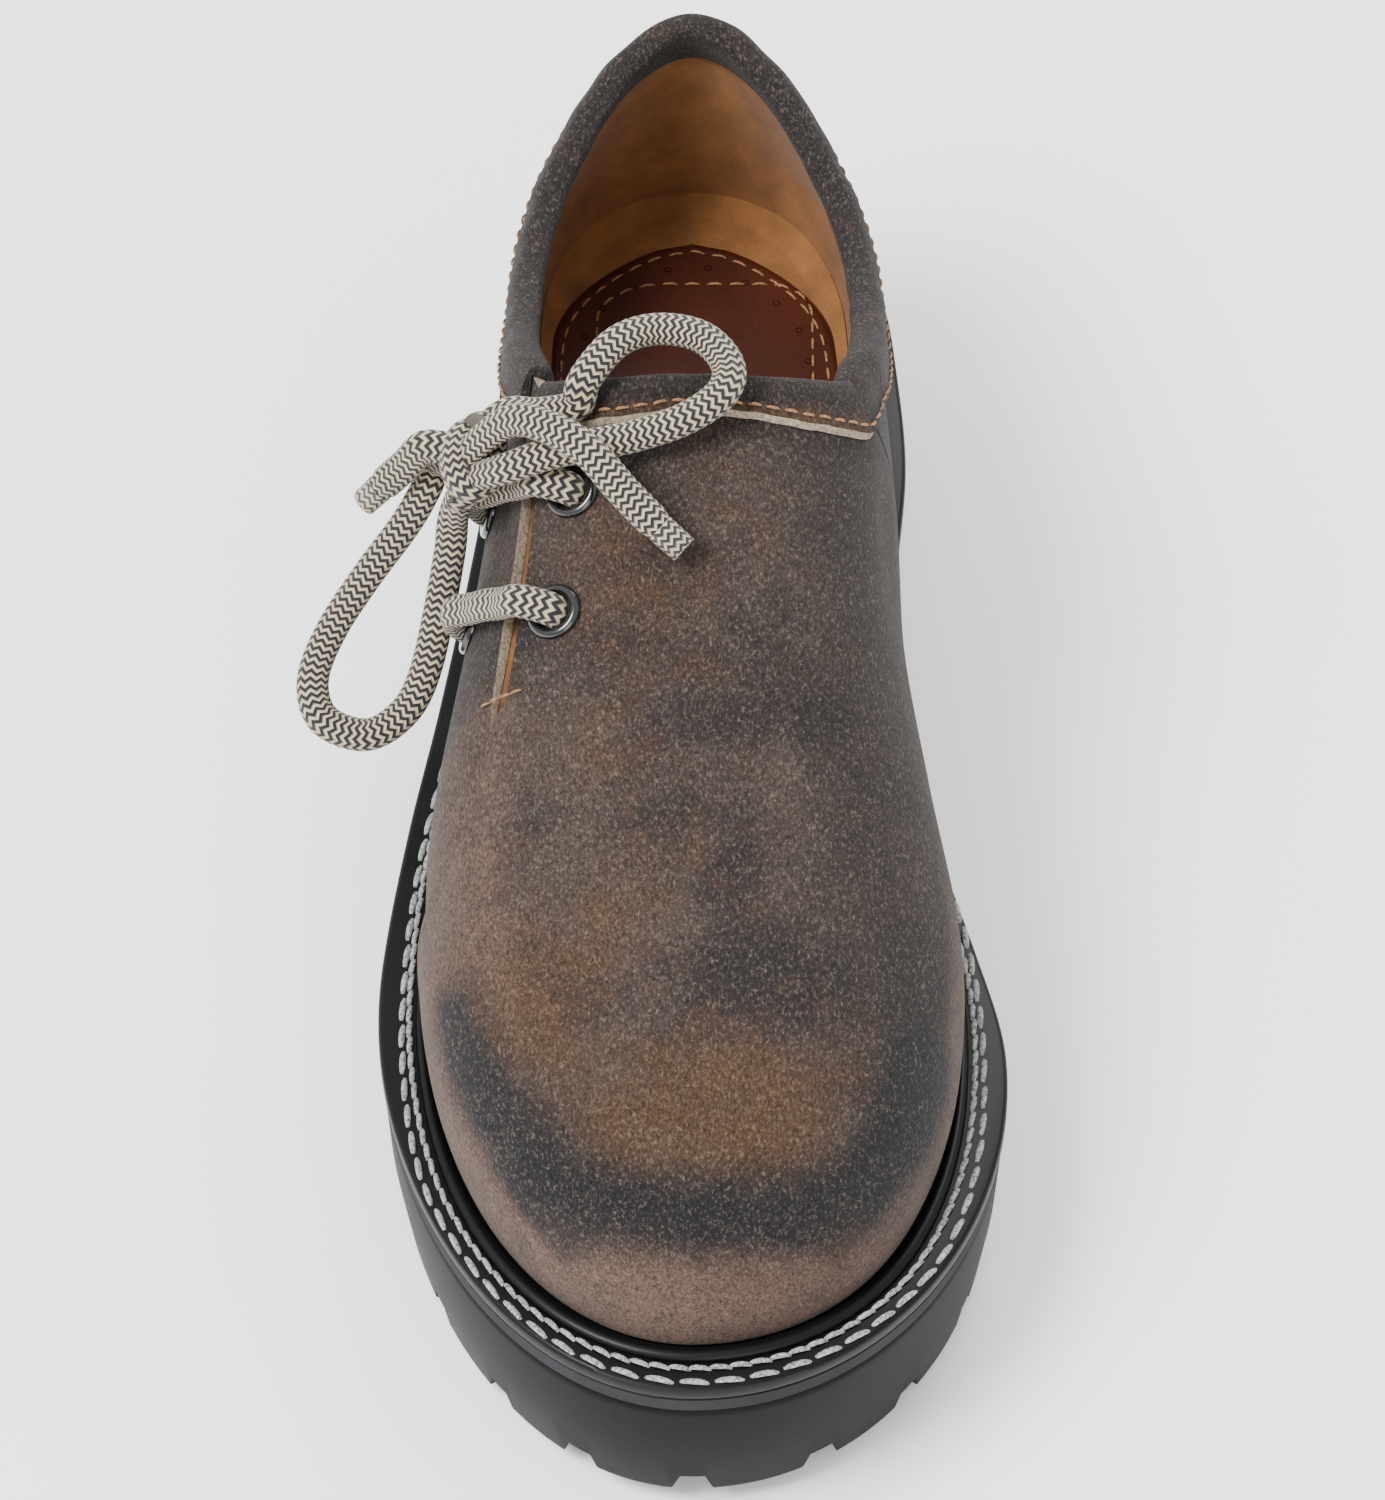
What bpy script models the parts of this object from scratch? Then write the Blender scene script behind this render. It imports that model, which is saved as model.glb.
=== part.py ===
"""Haferl shoe with a side slit, the wearer's right one, as separate pieces in one frame.

Metres, +Z up. The toe points to -Y, the heel to +Y, and the inner side of the foot is at +X.
The origin is on the ground, under the middle of the outsole.

The upper is a skin over the last. A point of it has a station, from 0 at the back of the heel to 1 at
the toe, and a turn, from -1 at the outer feather line over 0 on the ridge to 1 at the inner one.
"""

import math
from collections import namedtuple

import bmesh
import bpy
from mathutils import Matrix, Vector

# Sole and last
OUTSOLE_LENGTH = 0.302
OUTSOLE_WIDTH = 0.120
UPPER_WIDTH = 0.104
TOE_MARGIN = 0.0103
HEEL_MARGIN = 0.0055
INSTEP_HEIGHT = 0.075
FOREFOOT_SEAT = 0.0365
HEEL_PITCH = 0.0095
TOE_SPRING = 0.0050
SPRING_START = 0.096

# Rounding of the ends, as lengths along the shoe
SOLE_TOE_ROUND = 0.100
SOLE_HEEL_ROUND = 0.042
UPPER_TOE_ROUND = 0.081
UPPER_TOE_RISE = 0.060
UPPER_HEEL_ROUND = 0.042
UPPER_TOP_ROUND = 0.072
HEEL_LEAN = 0.004
FEATHER_TUCK = 0.0015

# Points along each side of the sole's outline
OUTLINE_STEPS = 26

# Layers
GAP = 0.0003
WALL = 0.0024
SEAM_STEP = 0.0011
WELT_THICK = 0.0034
MIDSOLE_THICK = 0.0036
INSOLE_PROUD = 0.0006
RIB_SEAT = 0.0009
RIB_WIDTH = 0.0018
RIB_HEIGHT = 0.0014
EDGE_ROUND = 0.0007

# Outsole underside
SOLE_TAPER = 0.0026
HEEL_BLOCK = 0.084
ARCH_LENGTH = 0.062
ARCH_RISE = 0.010
BREAST_ROUND = 0.006
LUG_DEPTH = 0.0052
LUG_GROOVE = 0.0062
EDGE_GROOVE = 0.017
GROOVE_OVERRUN = 0.005
CENTRE_LAND = 0.004

# Collar band
COLLAR_SEAT = 0.0005
COLLAR_OUTSIDE = 0.0095
COLLAR_FRONT = 0.65
COLLAR_INSIDE = 0.0075
COLLAR_LEAF = 0.0011
COLLAR_PAD = 0.0017
COLLAR_CROWN = 0.0022
COLLAR_CORNER = 0.375

# Slit, tongue and seam
SLIT_WIDTH = 0.0046
SLIT_END = 0.590
CUTTER_REACH = 0.011
TONGUE_THICK = 0.0013
TONGUE_TOP = 0.403
TONGUE_END = 0.632
TONGUE_INNER = -0.03
TONGUE_OUTER = -0.600
RECESS_LENGTH = 0.090

# Eyelets and lace
EYELET_BORE = 0.0034
EYELET_BARREL = 0.0040
EYELET_FLANGE = 0.0055
EYELET_PROUD = 0.0010
LACE_DIAMETER = 0.0050
KNOT_LENGTH = 0.021
KNOT_WIDTH = 0.015
KNOT_HEIGHT = 0.009
KNOT_STATION = 0.435
KNOT_TURN = -0.440

TOE_Y = -OUTSOLE_LENGTH / 2
HEEL_Y = OUTSOLE_LENGTH / 2
UPPER_TOE_Y = TOE_Y + TOE_MARGIN
UPPER_HEEL_Y = HEEL_Y - HEEL_MARGIN
UPPER_LENGTH = UPPER_HEEL_Y - UPPER_TOE_Y
WELT_UNDER = -GAP - WELT_THICK
MIDSOLE_UNDER = WELT_UNDER - GAP - MIDSOLE_THICK
OUTSOLE_TOP = MIDSOLE_UNDER - GAP
BAR_LIFT = LACE_DIAMETER / 2 + 2 * GAP
KNOT_LIFT = BAR_LIFT + LACE_DIAMETER / 2 + GAP + KNOT_HEIGHT / 2
COLLAR_INNER_FACE = -WALL - COLLAR_SEAT - COLLAR_PAD

# Half widths as shares of half the outsole's width, by station from heel to toe
SoleSection = namedtuple("SoleSection", "station lateral medial")
SOLE_SECTIONS = (
    SoleSection(0.00, 0.610, 0.620),
    SoleSection(0.08, 0.620, 0.640),
    SoleSection(0.16, 0.640, 0.685),
    SoleSection(0.26, 0.680, 0.715),
    SoleSection(0.36, 0.745, 0.675),
    SoleSection(0.46, 0.825, 0.672),
    SoleSection(0.56, 0.915, 0.775),
    SoleSection(0.66, 0.980, 0.905),
    SoleSection(0.74, 0.995, 1.000),
    SoleSection(0.85, 0.975, 1.050),
    SoleSection(1.00, 0.940, 1.075),
)

# Half widths and ridge shift as shares of half the upper's width, ridge and bulge as shares of the instep rise,
# seat as a share of the heel pitch; power is the squareness of the section above its bulge
UpperSection = namedtuple("UpperSection", "station lateral medial ridge shift seat bulge power")
UPPER_SECTIONS = (
    UpperSection(0.00, 0.660, 0.660, 1.450, 0.00, 1.000, 0.213, 2.20),
    UpperSection(0.10, 0.660, 0.660, 1.400, 0.00, 0.895, 0.200, 2.20),
    UpperSection(0.20, 0.670, 0.690, 1.310, 0.00, 0.790, 0.187, 2.25),
    UpperSection(0.30, 0.715, 0.735, 1.160, 0.00, 0.684, 0.187, 2.45),
    UpperSection(0.40, 0.765, 0.770, 0.993, 0.02, 0.474, 0.200, 2.70),
    UpperSection(0.50, 0.846, 0.790, 0.873, 0.04, 0.210, 0.207, 2.50),
    UpperSection(0.60, 0.942, 0.875, 0.747, 0.06, 0.053, 0.173, 2.40),
    UpperSection(0.70, 0.985, 0.965, 0.633, 0.06, 0.000, 0.153, 2.35),
    UpperSection(0.80, 0.972, 0.990, 0.540, 0.06, 0.000, 0.133, 2.35),
    UpperSection(0.90, 0.952, 1.020, 0.475, 0.04, 0.000, 0.113, 2.35),
    UpperSection(1.00, 0.930, 1.080, 0.430, 0.02, 0.000, 0.087, 2.35),
)

# Front edge of the opening, from the ridge to its corner
FrontEdge = namedtuple("FrontEdge", "turn station")
FRONT_EDGE = (
    FrontEdge(0.000, 0.411),
    FrontEdge(0.120, 0.410),
    FrontEdge(0.220, 0.405),
    FrontEdge(0.310, 0.397),
    FrontEdge(COLLAR_CORNER, 0.388),
)

# Side edge of the opening, from the back of the heel to its corner
SideEdge = namedtuple("SideEdge", "station turn")
SIDE_EDGE = (
    SideEdge(0.000, 0.609),
    SideEdge(0.050, 0.622),
    SideEdge(0.100, 0.636),
    SideEdge(0.140, 0.643),
    SideEdge(0.180, 0.645),
    SideEdge(0.220, 0.636),
    SideEdge(0.260, 0.612),
    SideEdge(0.300, 0.570),
    SideEdge(0.335, 0.505),
    SideEdge(0.366, 0.428),
    SideEdge(0.388, COLLAR_CORNER),
)
CORNER_STATION = SIDE_EDGE[-1].station

# Middle line of the slit, from above the collar to its end
SlitLine = namedtuple("SlitLine", "station turn")
SLIT_LINE = (
    SlitLine(0.330, -0.350),
    SlitLine(0.388, -0.382),
    SlitLine(0.465, -0.388),
    SlitLine(0.557, -0.405),
    SlitLine(SLIT_END, -0.415),
)

# Raw edge of the vamp below the slit, down to the outer feather line
SeamLine = namedtuple("SeamLine", "turn station")
SEAM_LINE = (
    SeamLine(0.360, 0.592),
    SeamLine(0.490, 0.662),
    SeamLine(0.650, 0.700),
    SeamLine(0.850, 0.722),
    SeamLine(1.050, 0.735),
)

# Middles of the eyelets
Eyelet = namedtuple("Eyelet", "name station turn")
EYELETS = (
    Eyelet("eyelet_vamp_top", 0.470, -0.245),
    Eyelet("eyelet_vamp_low", 0.547, -0.275),
    Eyelet("eyelet_quarter_top", 0.424, -0.610),
    Eyelet("eyelet_quarter_low", 0.500, -0.640),
)

# Lugs: side grooves by station and the direction that they point in, as degrees from across the shoe
EdgeGroove = namedtuple("EdgeGroove", "station angle")
EDGE_GROOVES = (
    EdgeGroove(0.070, 12.0),
    EdgeGroove(0.150, 0.0),
    EdgeGroove(0.225, 0.0),
    EdgeGroove(0.560, 0.0),
    EdgeGroove(0.635, 0.0),
    EdgeGroove(0.710, 0.0),
    EdgeGroove(0.785, -8.0),
    EdgeGroove(0.856, -24.0),
    EdgeGroove(0.926, -42.0),
    EdgeGroove(0.977, -66.0),
)
CENTRE_GROOVES = (0.045, 0.110, 0.187, 0.600, 0.675, 0.750, 0.825)

# Free stretches of the lace beyond the knot, as chosen points of their middle lines
LOOP_FRONT = (
    (-0.0360, 0.0262, 0.1070),
    (-0.0291, 0.0240, 0.1100),
    (-0.0221, 0.0232, 0.1130),
    (-0.0202, 0.0262, 0.1172),
    (-0.0143, 0.0328, 0.1202),
    (-0.0068, 0.0362, 0.1202),
    (0.0017, 0.0340, 0.1204),
    (0.0066, 0.0272, 0.1200),
    (0.0056, 0.0208, 0.1192),
    (-0.0011, 0.0163, 0.1170),
    (-0.0105, 0.0148, 0.1138),
    (-0.0189, 0.0138, 0.1124),
    (-0.0269, 0.0126, 0.1112),
    (-0.0352, 0.0124, 0.1072),
)
LOOP_SIDE = (
    (-0.0482, 0.0262, 0.0945),
    (-0.0508, 0.0236, 0.0895),
    (-0.0549, 0.0194, 0.0838),
    (-0.0622, 0.0134, 0.0760),
    (-0.0692, 0.0064, 0.0680),
    (-0.0728, -0.0011, 0.0620),
    (-0.0706, -0.0077, 0.0580),
    (-0.0622, -0.0106, 0.0570),
    (-0.0551, -0.0074, 0.0600),
    (-0.0512, -0.0019, 0.0650),
    (-0.0484, 0.0071, 0.0730),
    (-0.0463, 0.0148, 0.0815),
    (-0.0453, 0.0185, 0.0885),
)
END_FRONT = (
    (-0.0345, 0.0188, 0.1134),
    (-0.0271, 0.0142, 0.1168),
    (-0.0197, 0.0086, 0.1166),
    (-0.0131, 0.0023, 0.1125),
    (-0.0067, -0.0033, 0.1090),
    (-0.0015, -0.0069, 0.1060),
)
END_SIDE = (
    (-0.0500, 0.0230, 0.1020),
    (-0.0545, 0.0236, 0.0960),
    (-0.0590, 0.0240, 0.0900),
    (-0.0628, 0.0242, 0.0848),
)

# Colours, roughness and metallic value of the plain materials
COLOURS = {
    "suede": ("#6b5a51", 0.95, 0.0),
    "suede_collar": ("#5d5250", 0.95, 0.0),
    "nubuck_tan": ("#a0683c", 0.90, 0.0),
    "sock_leather": ("#6a3312", 0.55, 0.0),
    "rubber_navy": ("#26272e", 0.60, 0.0),
    "rubber_grey": ("#4a4a4d", 0.65, 0.0),
    "welt_black": ("#1d1d20", 0.55, 0.0),
    "eyelet_black": ("#101012", 0.25, 0.6),
    "lace_braid": ("#5c564c", 0.90, 0.0),
}


def curve_value(rows, key, column, at):
    """Value of a table's column at a place along its key, on a smooth curve through the rows."""
    places = [getattr(row, key) for row in rows]
    values = [getattr(row, column) for row in rows]
    if at <= places[0]:
        return values[0]
    if at >= places[-1]:
        return values[-1]
    left = max(index for index in range(len(rows) - 1) if places[index] <= at)
    width = places[left + 1] - places[left]
    share = (at - places[left]) / width

    def slope(index):
        low = max(index - 1, 0)
        high = min(index + 1, len(rows) - 1)
        return (values[high] - values[low]) / (places[high] - places[low])

    square = share * share
    cube = square * share
    start = (2 * cube - 3 * square + 1) * values[left] + (cube - 2 * square + share) * width * slope(left)
    end = (3 * square - 2 * cube) * values[left + 1] + (cube - square) * width * slope(left + 1)
    return start + end


def rounded_end(distance, length, power, root=2.0):
    """Share of full size at a distance from an end that is rounded over a length."""
    if distance <= 0.0:
        return 0.0
    if distance >= length:
        return 1.0
    return (1.0 - (1.0 - distance / length) ** power) ** (1.0 / root)


def blend(low, high, share):
    """Value between two, with the share kept from 0 to 1."""
    share = min(1.0, max(0.0, share))
    return low + (high - low) * share


def smooth(share):
    """Soft step from 0 to 1."""
    share = min(1.0, max(0.0, share))
    return share * share * (3.0 - 2.0 * share)


def toe_spring(y):
    """Height that the sole has left the ground by, towards the toe."""
    return TOE_SPRING * max(0.0, (SPRING_START - (y - TOE_Y)) / SPRING_START) ** 2


def seat_height(y):
    """Height of the feather line, where the upper meets the welt."""
    station = (UPPER_HEEL_Y - y) / UPPER_LENGTH
    share = curve_value(UPPER_SECTIONS, "station", "seat", station)
    return FOREFOOT_SEAT + HEEL_PITCH * share + toe_spring(y)


def upper_skin(station, turn):
    """Point on the upper's outer face."""
    side = -1.0 if turn < 0.0 else 1.0
    around = abs(turn)
    half = UPPER_WIDTH / 2

    def section(column):
        return curve_value(UPPER_SECTIONS, "station", column, station)

    from_toe = (1.0 - station) * UPPER_LENGTH
    narrow = rounded_end(from_toe, UPPER_TOE_ROUND, 2.2)
    low = rounded_end(from_toe, UPPER_TOE_RISE, 2.4, 2.2)
    width = section("lateral" if side < 0 else "medial") * half * narrow
    ridge_x = section("shift") * half * narrow
    ridge = section("ridge") * INSTEP_HEIGHT * low
    bulge = section("bulge") * INSTEP_HEIGHT * low
    wall_start = 0.8
    if around <= wall_start:
        angle = (1.0 - around / wall_start) * math.pi / 2
        squareness = 2.0 / section("power")
        x = ridge_x + (side * width - ridge_x) * max(0.0, math.cos(angle)) ** squareness
        height = bulge + (ridge - bulge) * math.sin(angle) ** squareness
    else:
        share = (around - wall_start) / (1.0 - wall_start)
        x = side * (width - FEATHER_TUCK * share * share * narrow)
        height = bulge * (1.0 - share)
    top_share = height / INSTEP_HEIGHT / 0.5 - 0.42
    heel_round = blend(UPPER_HEEL_ROUND, UPPER_TOP_ROUND, top_share)
    heel_power = blend(2.2, 1.38, top_share)
    x *= rounded_end(station * UPPER_LENGTH, heel_round, heel_power)
    y = UPPER_HEEL_Y - station * UPPER_LENGTH
    y -= HEEL_LEAN * max(0.0, top_share) ** 2 * max(0.0, 1.0 - station / 0.3) ** 1.5
    return Vector((x, y, seat_height(UPPER_HEEL_Y - station * UPPER_LENGTH) + height))


def skin_chart(station, turn):
    """Two smooth coordinates near a point of the skin, and the function that turns them into a point.

    Around the heel the first one is the signed root of the station, which runs on smoothly from one
    side of the shoe to the other.
    """
    if abs(turn) > 0.3 and station < 0.6:
        first = math.copysign(math.sqrt(station), turn)
        return first, abs(turn), lambda root, around: upper_skin(root * root, math.copysign(around, root))
    return station, turn, upper_skin


def skin_slopes(station, turn):
    """Change of the skin's point along each of its two smooth coordinates."""
    first, second, point = skin_chart(station, turn)
    step = 0.004
    along = (point(first + step, second) - point(first - step, second)) / (2 * step)
    across = (point(first, second + step) - point(first, second - step)) / (2 * step)
    return along, across


def skin_normal(station, turn):
    """Unit vector out of the upper."""
    along, across = skin_slopes(station, turn)
    normal = along.cross(across).normalized()
    here = upper_skin(station, turn)
    inside = Vector((0.0, blend(UPPER_TOE_Y, UPPER_HEEL_Y - UPPER_HEEL_ROUND, 1.0 - station), FOREFOOT_SEAT))
    if normal.dot(here - inside) < 0.0:
        normal.negate()
    return normal


def skin_offset(station, turn, offset):
    """Point at a distance out of the upper's outer face."""
    return upper_skin(station, turn) + skin_normal(station, turn) * offset


def slide(station, turn, move):
    """Station and turn of the place reached by moving along the skin."""
    for _ in range(2):
        along, across = skin_slopes(station, turn)
        first, second, _point = skin_chart(station, turn)
        half_move = move / 2
        aa = along.dot(along)
        ab = along.dot(across)
        bb = across.dot(across)
        am = along.dot(half_move)
        bm = across.dot(half_move)
        scale = aa * bb - ab * ab
        first += (am * bb - bm * ab) / scale
        second += (bm * aa - am * ab) / scale
        if abs(turn) > 0.3 and station < 0.6:
            station = first * first
            turn = math.copysign(second, first)
        else:
            station = first
            turn = second
    return station, turn


def front_edge(turn):
    """Station of the opening's front edge."""
    return curve_value(FRONT_EDGE, "turn", "station", abs(turn))


def side_edge(station):
    """Turn of the opening's side edge, without its sign."""
    return curve_value(SIDE_EDGE, "station", "turn", station)


def edge_distance(station, turn):
    """Rough distance from the opening's edge, down the skin."""
    around = abs(turn)
    girth = 1.45 * INSTEP_HEIGHT
    if around <= COLLAR_CORNER:
        return (station - front_edge(turn)) * UPPER_LENGTH
    if station <= CORNER_STATION:
        return (around - side_edge(station)) * girth
    return math.hypot((around - COLLAR_CORNER) * girth, (station - CORNER_STATION) * UPPER_LENGTH)


def opening_path():
    """Stations and turns around the opening, from the outer corner back over the heel to the front edge."""
    side_steps = 20
    front_steps = 12
    path = []
    for step in range(side_steps):
        station = CORNER_STATION * (1.0 - step / side_steps) ** 1.6
        path.append((station, -side_edge(station)))
    for step in range(side_steps):
        station = CORNER_STATION * (step / side_steps) ** 1.6
        path.append((station, side_edge(station)))
    for step in range(front_steps):
        turn = COLLAR_CORNER * (1.0 - 2.0 * step / front_steps)
        path.append((front_edge(turn), turn))
    return path


def srgb(code):
    """Linear colour from a hex code."""
    values = [int(code[start:start + 2], 16) / 255 for start in (1, 3, 5)]
    linear = [v / 12.92 if v <= 0.04045 else ((v + 0.055) / 1.055) ** 2.4 for v in values]
    return (*linear, 1.0)


def make_materials():
    """Principled materials by name."""
    materials = {}
    for name, (code, roughness, metallic) in COLOURS.items():
        material = bpy.data.materials.new(name)
        material.use_nodes = True
        shader = material.node_tree.nodes["Principled BSDF"]
        shader.inputs["Base Color"].default_value = srgb(code)
        shader.inputs["Roughness"].default_value = roughness
        shader.inputs["Metallic"].default_value = metallic
        materials[name] = material
    return materials


def add_object(name, mesh_or_curve, material=None):
    """Object linked to the scene."""
    thing = bpy.data.objects.new(name, mesh_or_curve)
    bpy.context.scene.collection.objects.link(thing)
    if material:
        mesh_or_curve.materials.append(material)
    return thing


def mesh_object(name, rows, faces, material=None, weld=0.0, soft_angle=40.0):
    """Mesh object from points and faces, with its faces turned outwards."""
    shape = bmesh.new()
    corners = [shape.verts.new(point) for point in rows]
    for face in faces:
        shape.faces.new([corners[index] for index in face])
    if weld:
        bmesh.ops.remove_doubles(shape, verts=shape.verts, dist=weld)
    bmesh.ops.recalc_face_normals(shape, faces=shape.faces)
    mesh = bpy.data.meshes.new(name)
    shape.to_mesh(mesh)
    shape.free()
    mesh.shade_smooth()
    mesh.set_sharp_from_angle(angle=math.radians(soft_angle))
    return add_object(name, mesh, material)


def ring_faces(rings, size, closed=True):
    """Faces between rings of points that follow each other."""
    faces = []
    last = rings if closed else rings - 1
    for ring in range(last):
        following = (ring + 1) % rings
        for index in range(size):
            beside = (index + 1) % size
            faces.append((ring * size + index, ring * size + beside, following * size + beside,
                          following * size + index))
    return faces


def patch_solid(name, rows, lower, upper, material=None):
    """Closed solid over rows of skin places, between two offsets given as functions of station and turn."""
    count = len(rows)
    width = len(rows[0])
    points = []
    for offset in (lower, upper):
        for row in rows:
            points += [skin_offset(station, turn, offset(station, turn)) for station, turn in row]
    layer = count * width
    faces = []
    for row in range(count - 1):
        for column in range(width - 1):
            corner = row * width + column
            faces.append((corner, corner + width, corner + width + 1, corner + 1))
            faces.append((layer + corner, layer + corner + 1, layer + corner + width + 1, layer + corner + width))
    rim = [column for column in range(width)]
    rim += [row * width + width - 1 for row in range(1, count)]
    rim += [(count - 1) * width + column for column in range(width - 2, -1, -1)]
    rim += [row * width for row in range(count - 2, 0, -1)]
    for index, corner in enumerate(rim):
        beside = rim[(index + 1) % len(rim)]
        faces.append((corner, beside, layer + beside, layer + corner))
    return mesh_object(name, points, faces, material)


def cut(target, cutter):
    """Boolean difference, with the cutter kept as a hidden guide."""
    cutter.hide_render = True
    cutter.display_type = "WIRE"
    modifier = target.modifiers.new("cut_" + cutter.name, "BOOLEAN")
    modifier.operation = "DIFFERENCE"
    modifier.solver = "EXACT"
    modifier.object = cutter


def sole_half(y, side):
    """Half width of the outsole's outline."""
    station = (HEEL_Y - y) / OUTSOLE_LENGTH
    column = "lateral" if side < 0 else "medial"
    share = curve_value(SOLE_SECTIONS, "station", column, station)
    toe = rounded_end(y - TOE_Y, SOLE_TOE_ROUND, 2.2)
    heel = rounded_end(HEEL_Y - y, SOLE_HEEL_ROUND, 2.2)
    return share * OUTSOLE_WIDTH / 2 * toe * heel


def closed_outline(point_at, steps):
    """Points from the toe along the outer side to the heel and back along the inner side."""
    outline = []
    for side in (-1, 1):
        for step in range(steps):
            share = 0.5 - 0.5 * math.cos(math.pi * step / steps)
            outline.append(point_at(share if side < 0 else 1.0 - share, side))
    return outline


def sole_outline():
    """Outline of the outsole's widest edge, as points of the plan."""

    def point_at(share, side):
        y = TOE_Y + share * OUTSOLE_LENGTH
        return Vector((side * sole_half(y, side), y))

    return closed_outline(point_at, OUTLINE_STEPS)


def feather_outline():
    """Outline of the upper's bottom edge, as points of the plan."""

    def point_at(share, side):
        place = upper_skin(1.0 - share, float(side))
        return Vector((place.x, place.y))

    return closed_outline(point_at, OUTLINE_STEPS)


def inset(outline, distance):
    """Outline moved inwards, square to itself."""
    moved = []
    for index, point in enumerate(outline):
        run = outline[(index + 1) % len(outline)] - outline[index - 1]
        inwards = Vector((run.y, -run.x)).normalized()
        moved.append(point + inwards * distance)
    return moved


def slab(name, levels, material):
    """Closed solid from outlines on levels, bottom to top, each with a height as a function of y."""
    points = []
    size = 2 * OUTLINE_STEPS
    for outline, height in levels:
        points += [Vector((point.x, point.y, height(point.y))) for point in outline]
    faces = ring_faces(len(levels), size, closed=False)
    columns = 3
    for level, (outline, height) in ((0, levels[0]), (len(levels) - 1, levels[-1])):
        previous = None
        for step in range(1, OUTLINE_STEPS):
            left = level * size + step
            right = level * size + size - step
            row = [left]
            for column in range(1, columns):
                place = outline[step].lerp(outline[size - step], column / columns)
                row.append(len(points))
                points.append(Vector((place.x, place.y, height(place.y))))
            row.append(right)
            if previous:
                for column in range(columns):
                    faces.append((previous[column], previous[column + 1], row[column + 1], row[column]))
            else:
                toe = level * size
                faces += [(toe, row[column + 1], row[column]) for column in range(columns)]
            previous = row
        heel = level * size + OUTLINE_STEPS
        faces += [(heel, previous[column], previous[column + 1]) for column in range(columns)]
    return mesh_object(name, points, faces, material)


def make_outsole(material):
    """Rubber unit with heel, arch, toe spring and lugs."""
    edge = sole_outline()

    def between(share):
        return lambda y: blend(toe_spring(y), seat_height(y) + OUTSOLE_TOP, share)

    levels = [
        (inset(edge, SOLE_TAPER + EDGE_ROUND * 2), toe_spring),
        (inset(edge, SOLE_TAPER), lambda y: toe_spring(y) + EDGE_ROUND * 2),
        (inset(edge, SOLE_TAPER * 0.45), between(0.45)),
        (inset(edge, EDGE_ROUND), between(0.93)),
        (inset(edge, EDGE_ROUND * 2), between(1.0)),
    ]
    outsole = slab("outsole", levels, material)
    cut(outsole, make_arch_cutter())
    cut(outsole, make_lug_cutter())
    return outsole


def make_arch_cutter():
    """Guide that hollows the waist between heel block and forefoot."""
    breast = HEEL_Y - HEEL_BLOCK
    reach = OUTSOLE_WIDTH
    below = -ARCH_RISE / 2
    run_out = -GAP
    steps = 8
    profile = [(breast, below), (breast - BREAST_ROUND / 4, ARCH_RISE * 0.75)]
    for step in range(steps + 1):
        share = step / steps
        y = breast - BREAST_ROUND - share * (ARCH_LENGTH - BREAST_ROUND)
        profile.append((y, blend(ARCH_RISE, run_out, smooth(share))))
    profile.append((breast - ARCH_LENGTH, below))
    size = len(profile)
    points = [Vector((side * reach, y, z)) for side in (-1, 1) for y, z in profile]
    faces = ring_faces(2, size, closed=False)
    faces.append(tuple(range(size)))
    faces.append(tuple(range(size, 2 * size)))
    return mesh_object("arch_guide", points, faces)


def make_lug_cutter():
    """Guide with a bar for each groove of the tread."""
    shape = bmesh.new()

    def add_bar(middle, angle, length):
        height = 2 * LUG_DEPTH
        place = Matrix.Translation(Vector((middle.x, middle.y, toe_spring(middle.y))))
        place = place @ Matrix.Rotation(math.radians(angle), 4, "Z")
        size = Matrix.Diagonal((length, LUG_GROOVE, height, 1.0))
        bmesh.ops.create_cube(shape, size=1.0, matrix=place @ size)

    for groove in EDGE_GROOVES:
        y = HEEL_Y - groove.station * OUTSOLE_LENGTH
        for side in (-1, 1):
            angle = side * groove.angle
            outwards = Vector((side * math.cos(math.radians(angle)), side * math.sin(math.radians(angle))))
            edge = Vector((side * sole_half(y, side), y))
            inner = edge - outwards * EDGE_GROOVE
            outer = edge + outwards * GROOVE_OVERRUN
            add_bar((inner + outer) / 2, angle, (outer - inner).length)
    for station in CENTRE_GROOVES:
        y = HEEL_Y - station * OUTSOLE_LENGTH
        half = min(sole_half(y, -1), sole_half(y, 1)) - EDGE_GROOVE - CENTRE_LAND
        add_bar(Vector((0.0, y)), 0.0, 2 * half)
    add_bar(Vector((0.0, TOE_Y)), 90.0, EDGE_GROOVE)
    mesh = bpy.data.meshes.new("lug_guide")
    shape.to_mesh(mesh)
    shape.free()
    return add_object("lug_guide", mesh)


def make_midsole(material):
    """Edge layer between outsole and welt."""
    edge = sole_outline()
    levels = [
        (inset(edge, EDGE_ROUND * 2), lambda y: seat_height(y) + MIDSOLE_UNDER),
        (inset(edge, EDGE_ROUND), lambda y: seat_height(y) + MIDSOLE_UNDER + EDGE_ROUND),
        (inset(edge, EDGE_ROUND), lambda y: seat_height(y) + WELT_UNDER - GAP - EDGE_ROUND),
        (inset(edge, EDGE_ROUND * 2), lambda y: seat_height(y) + WELT_UNDER - GAP),
    ]
    return slab("midsole", levels, material)


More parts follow.
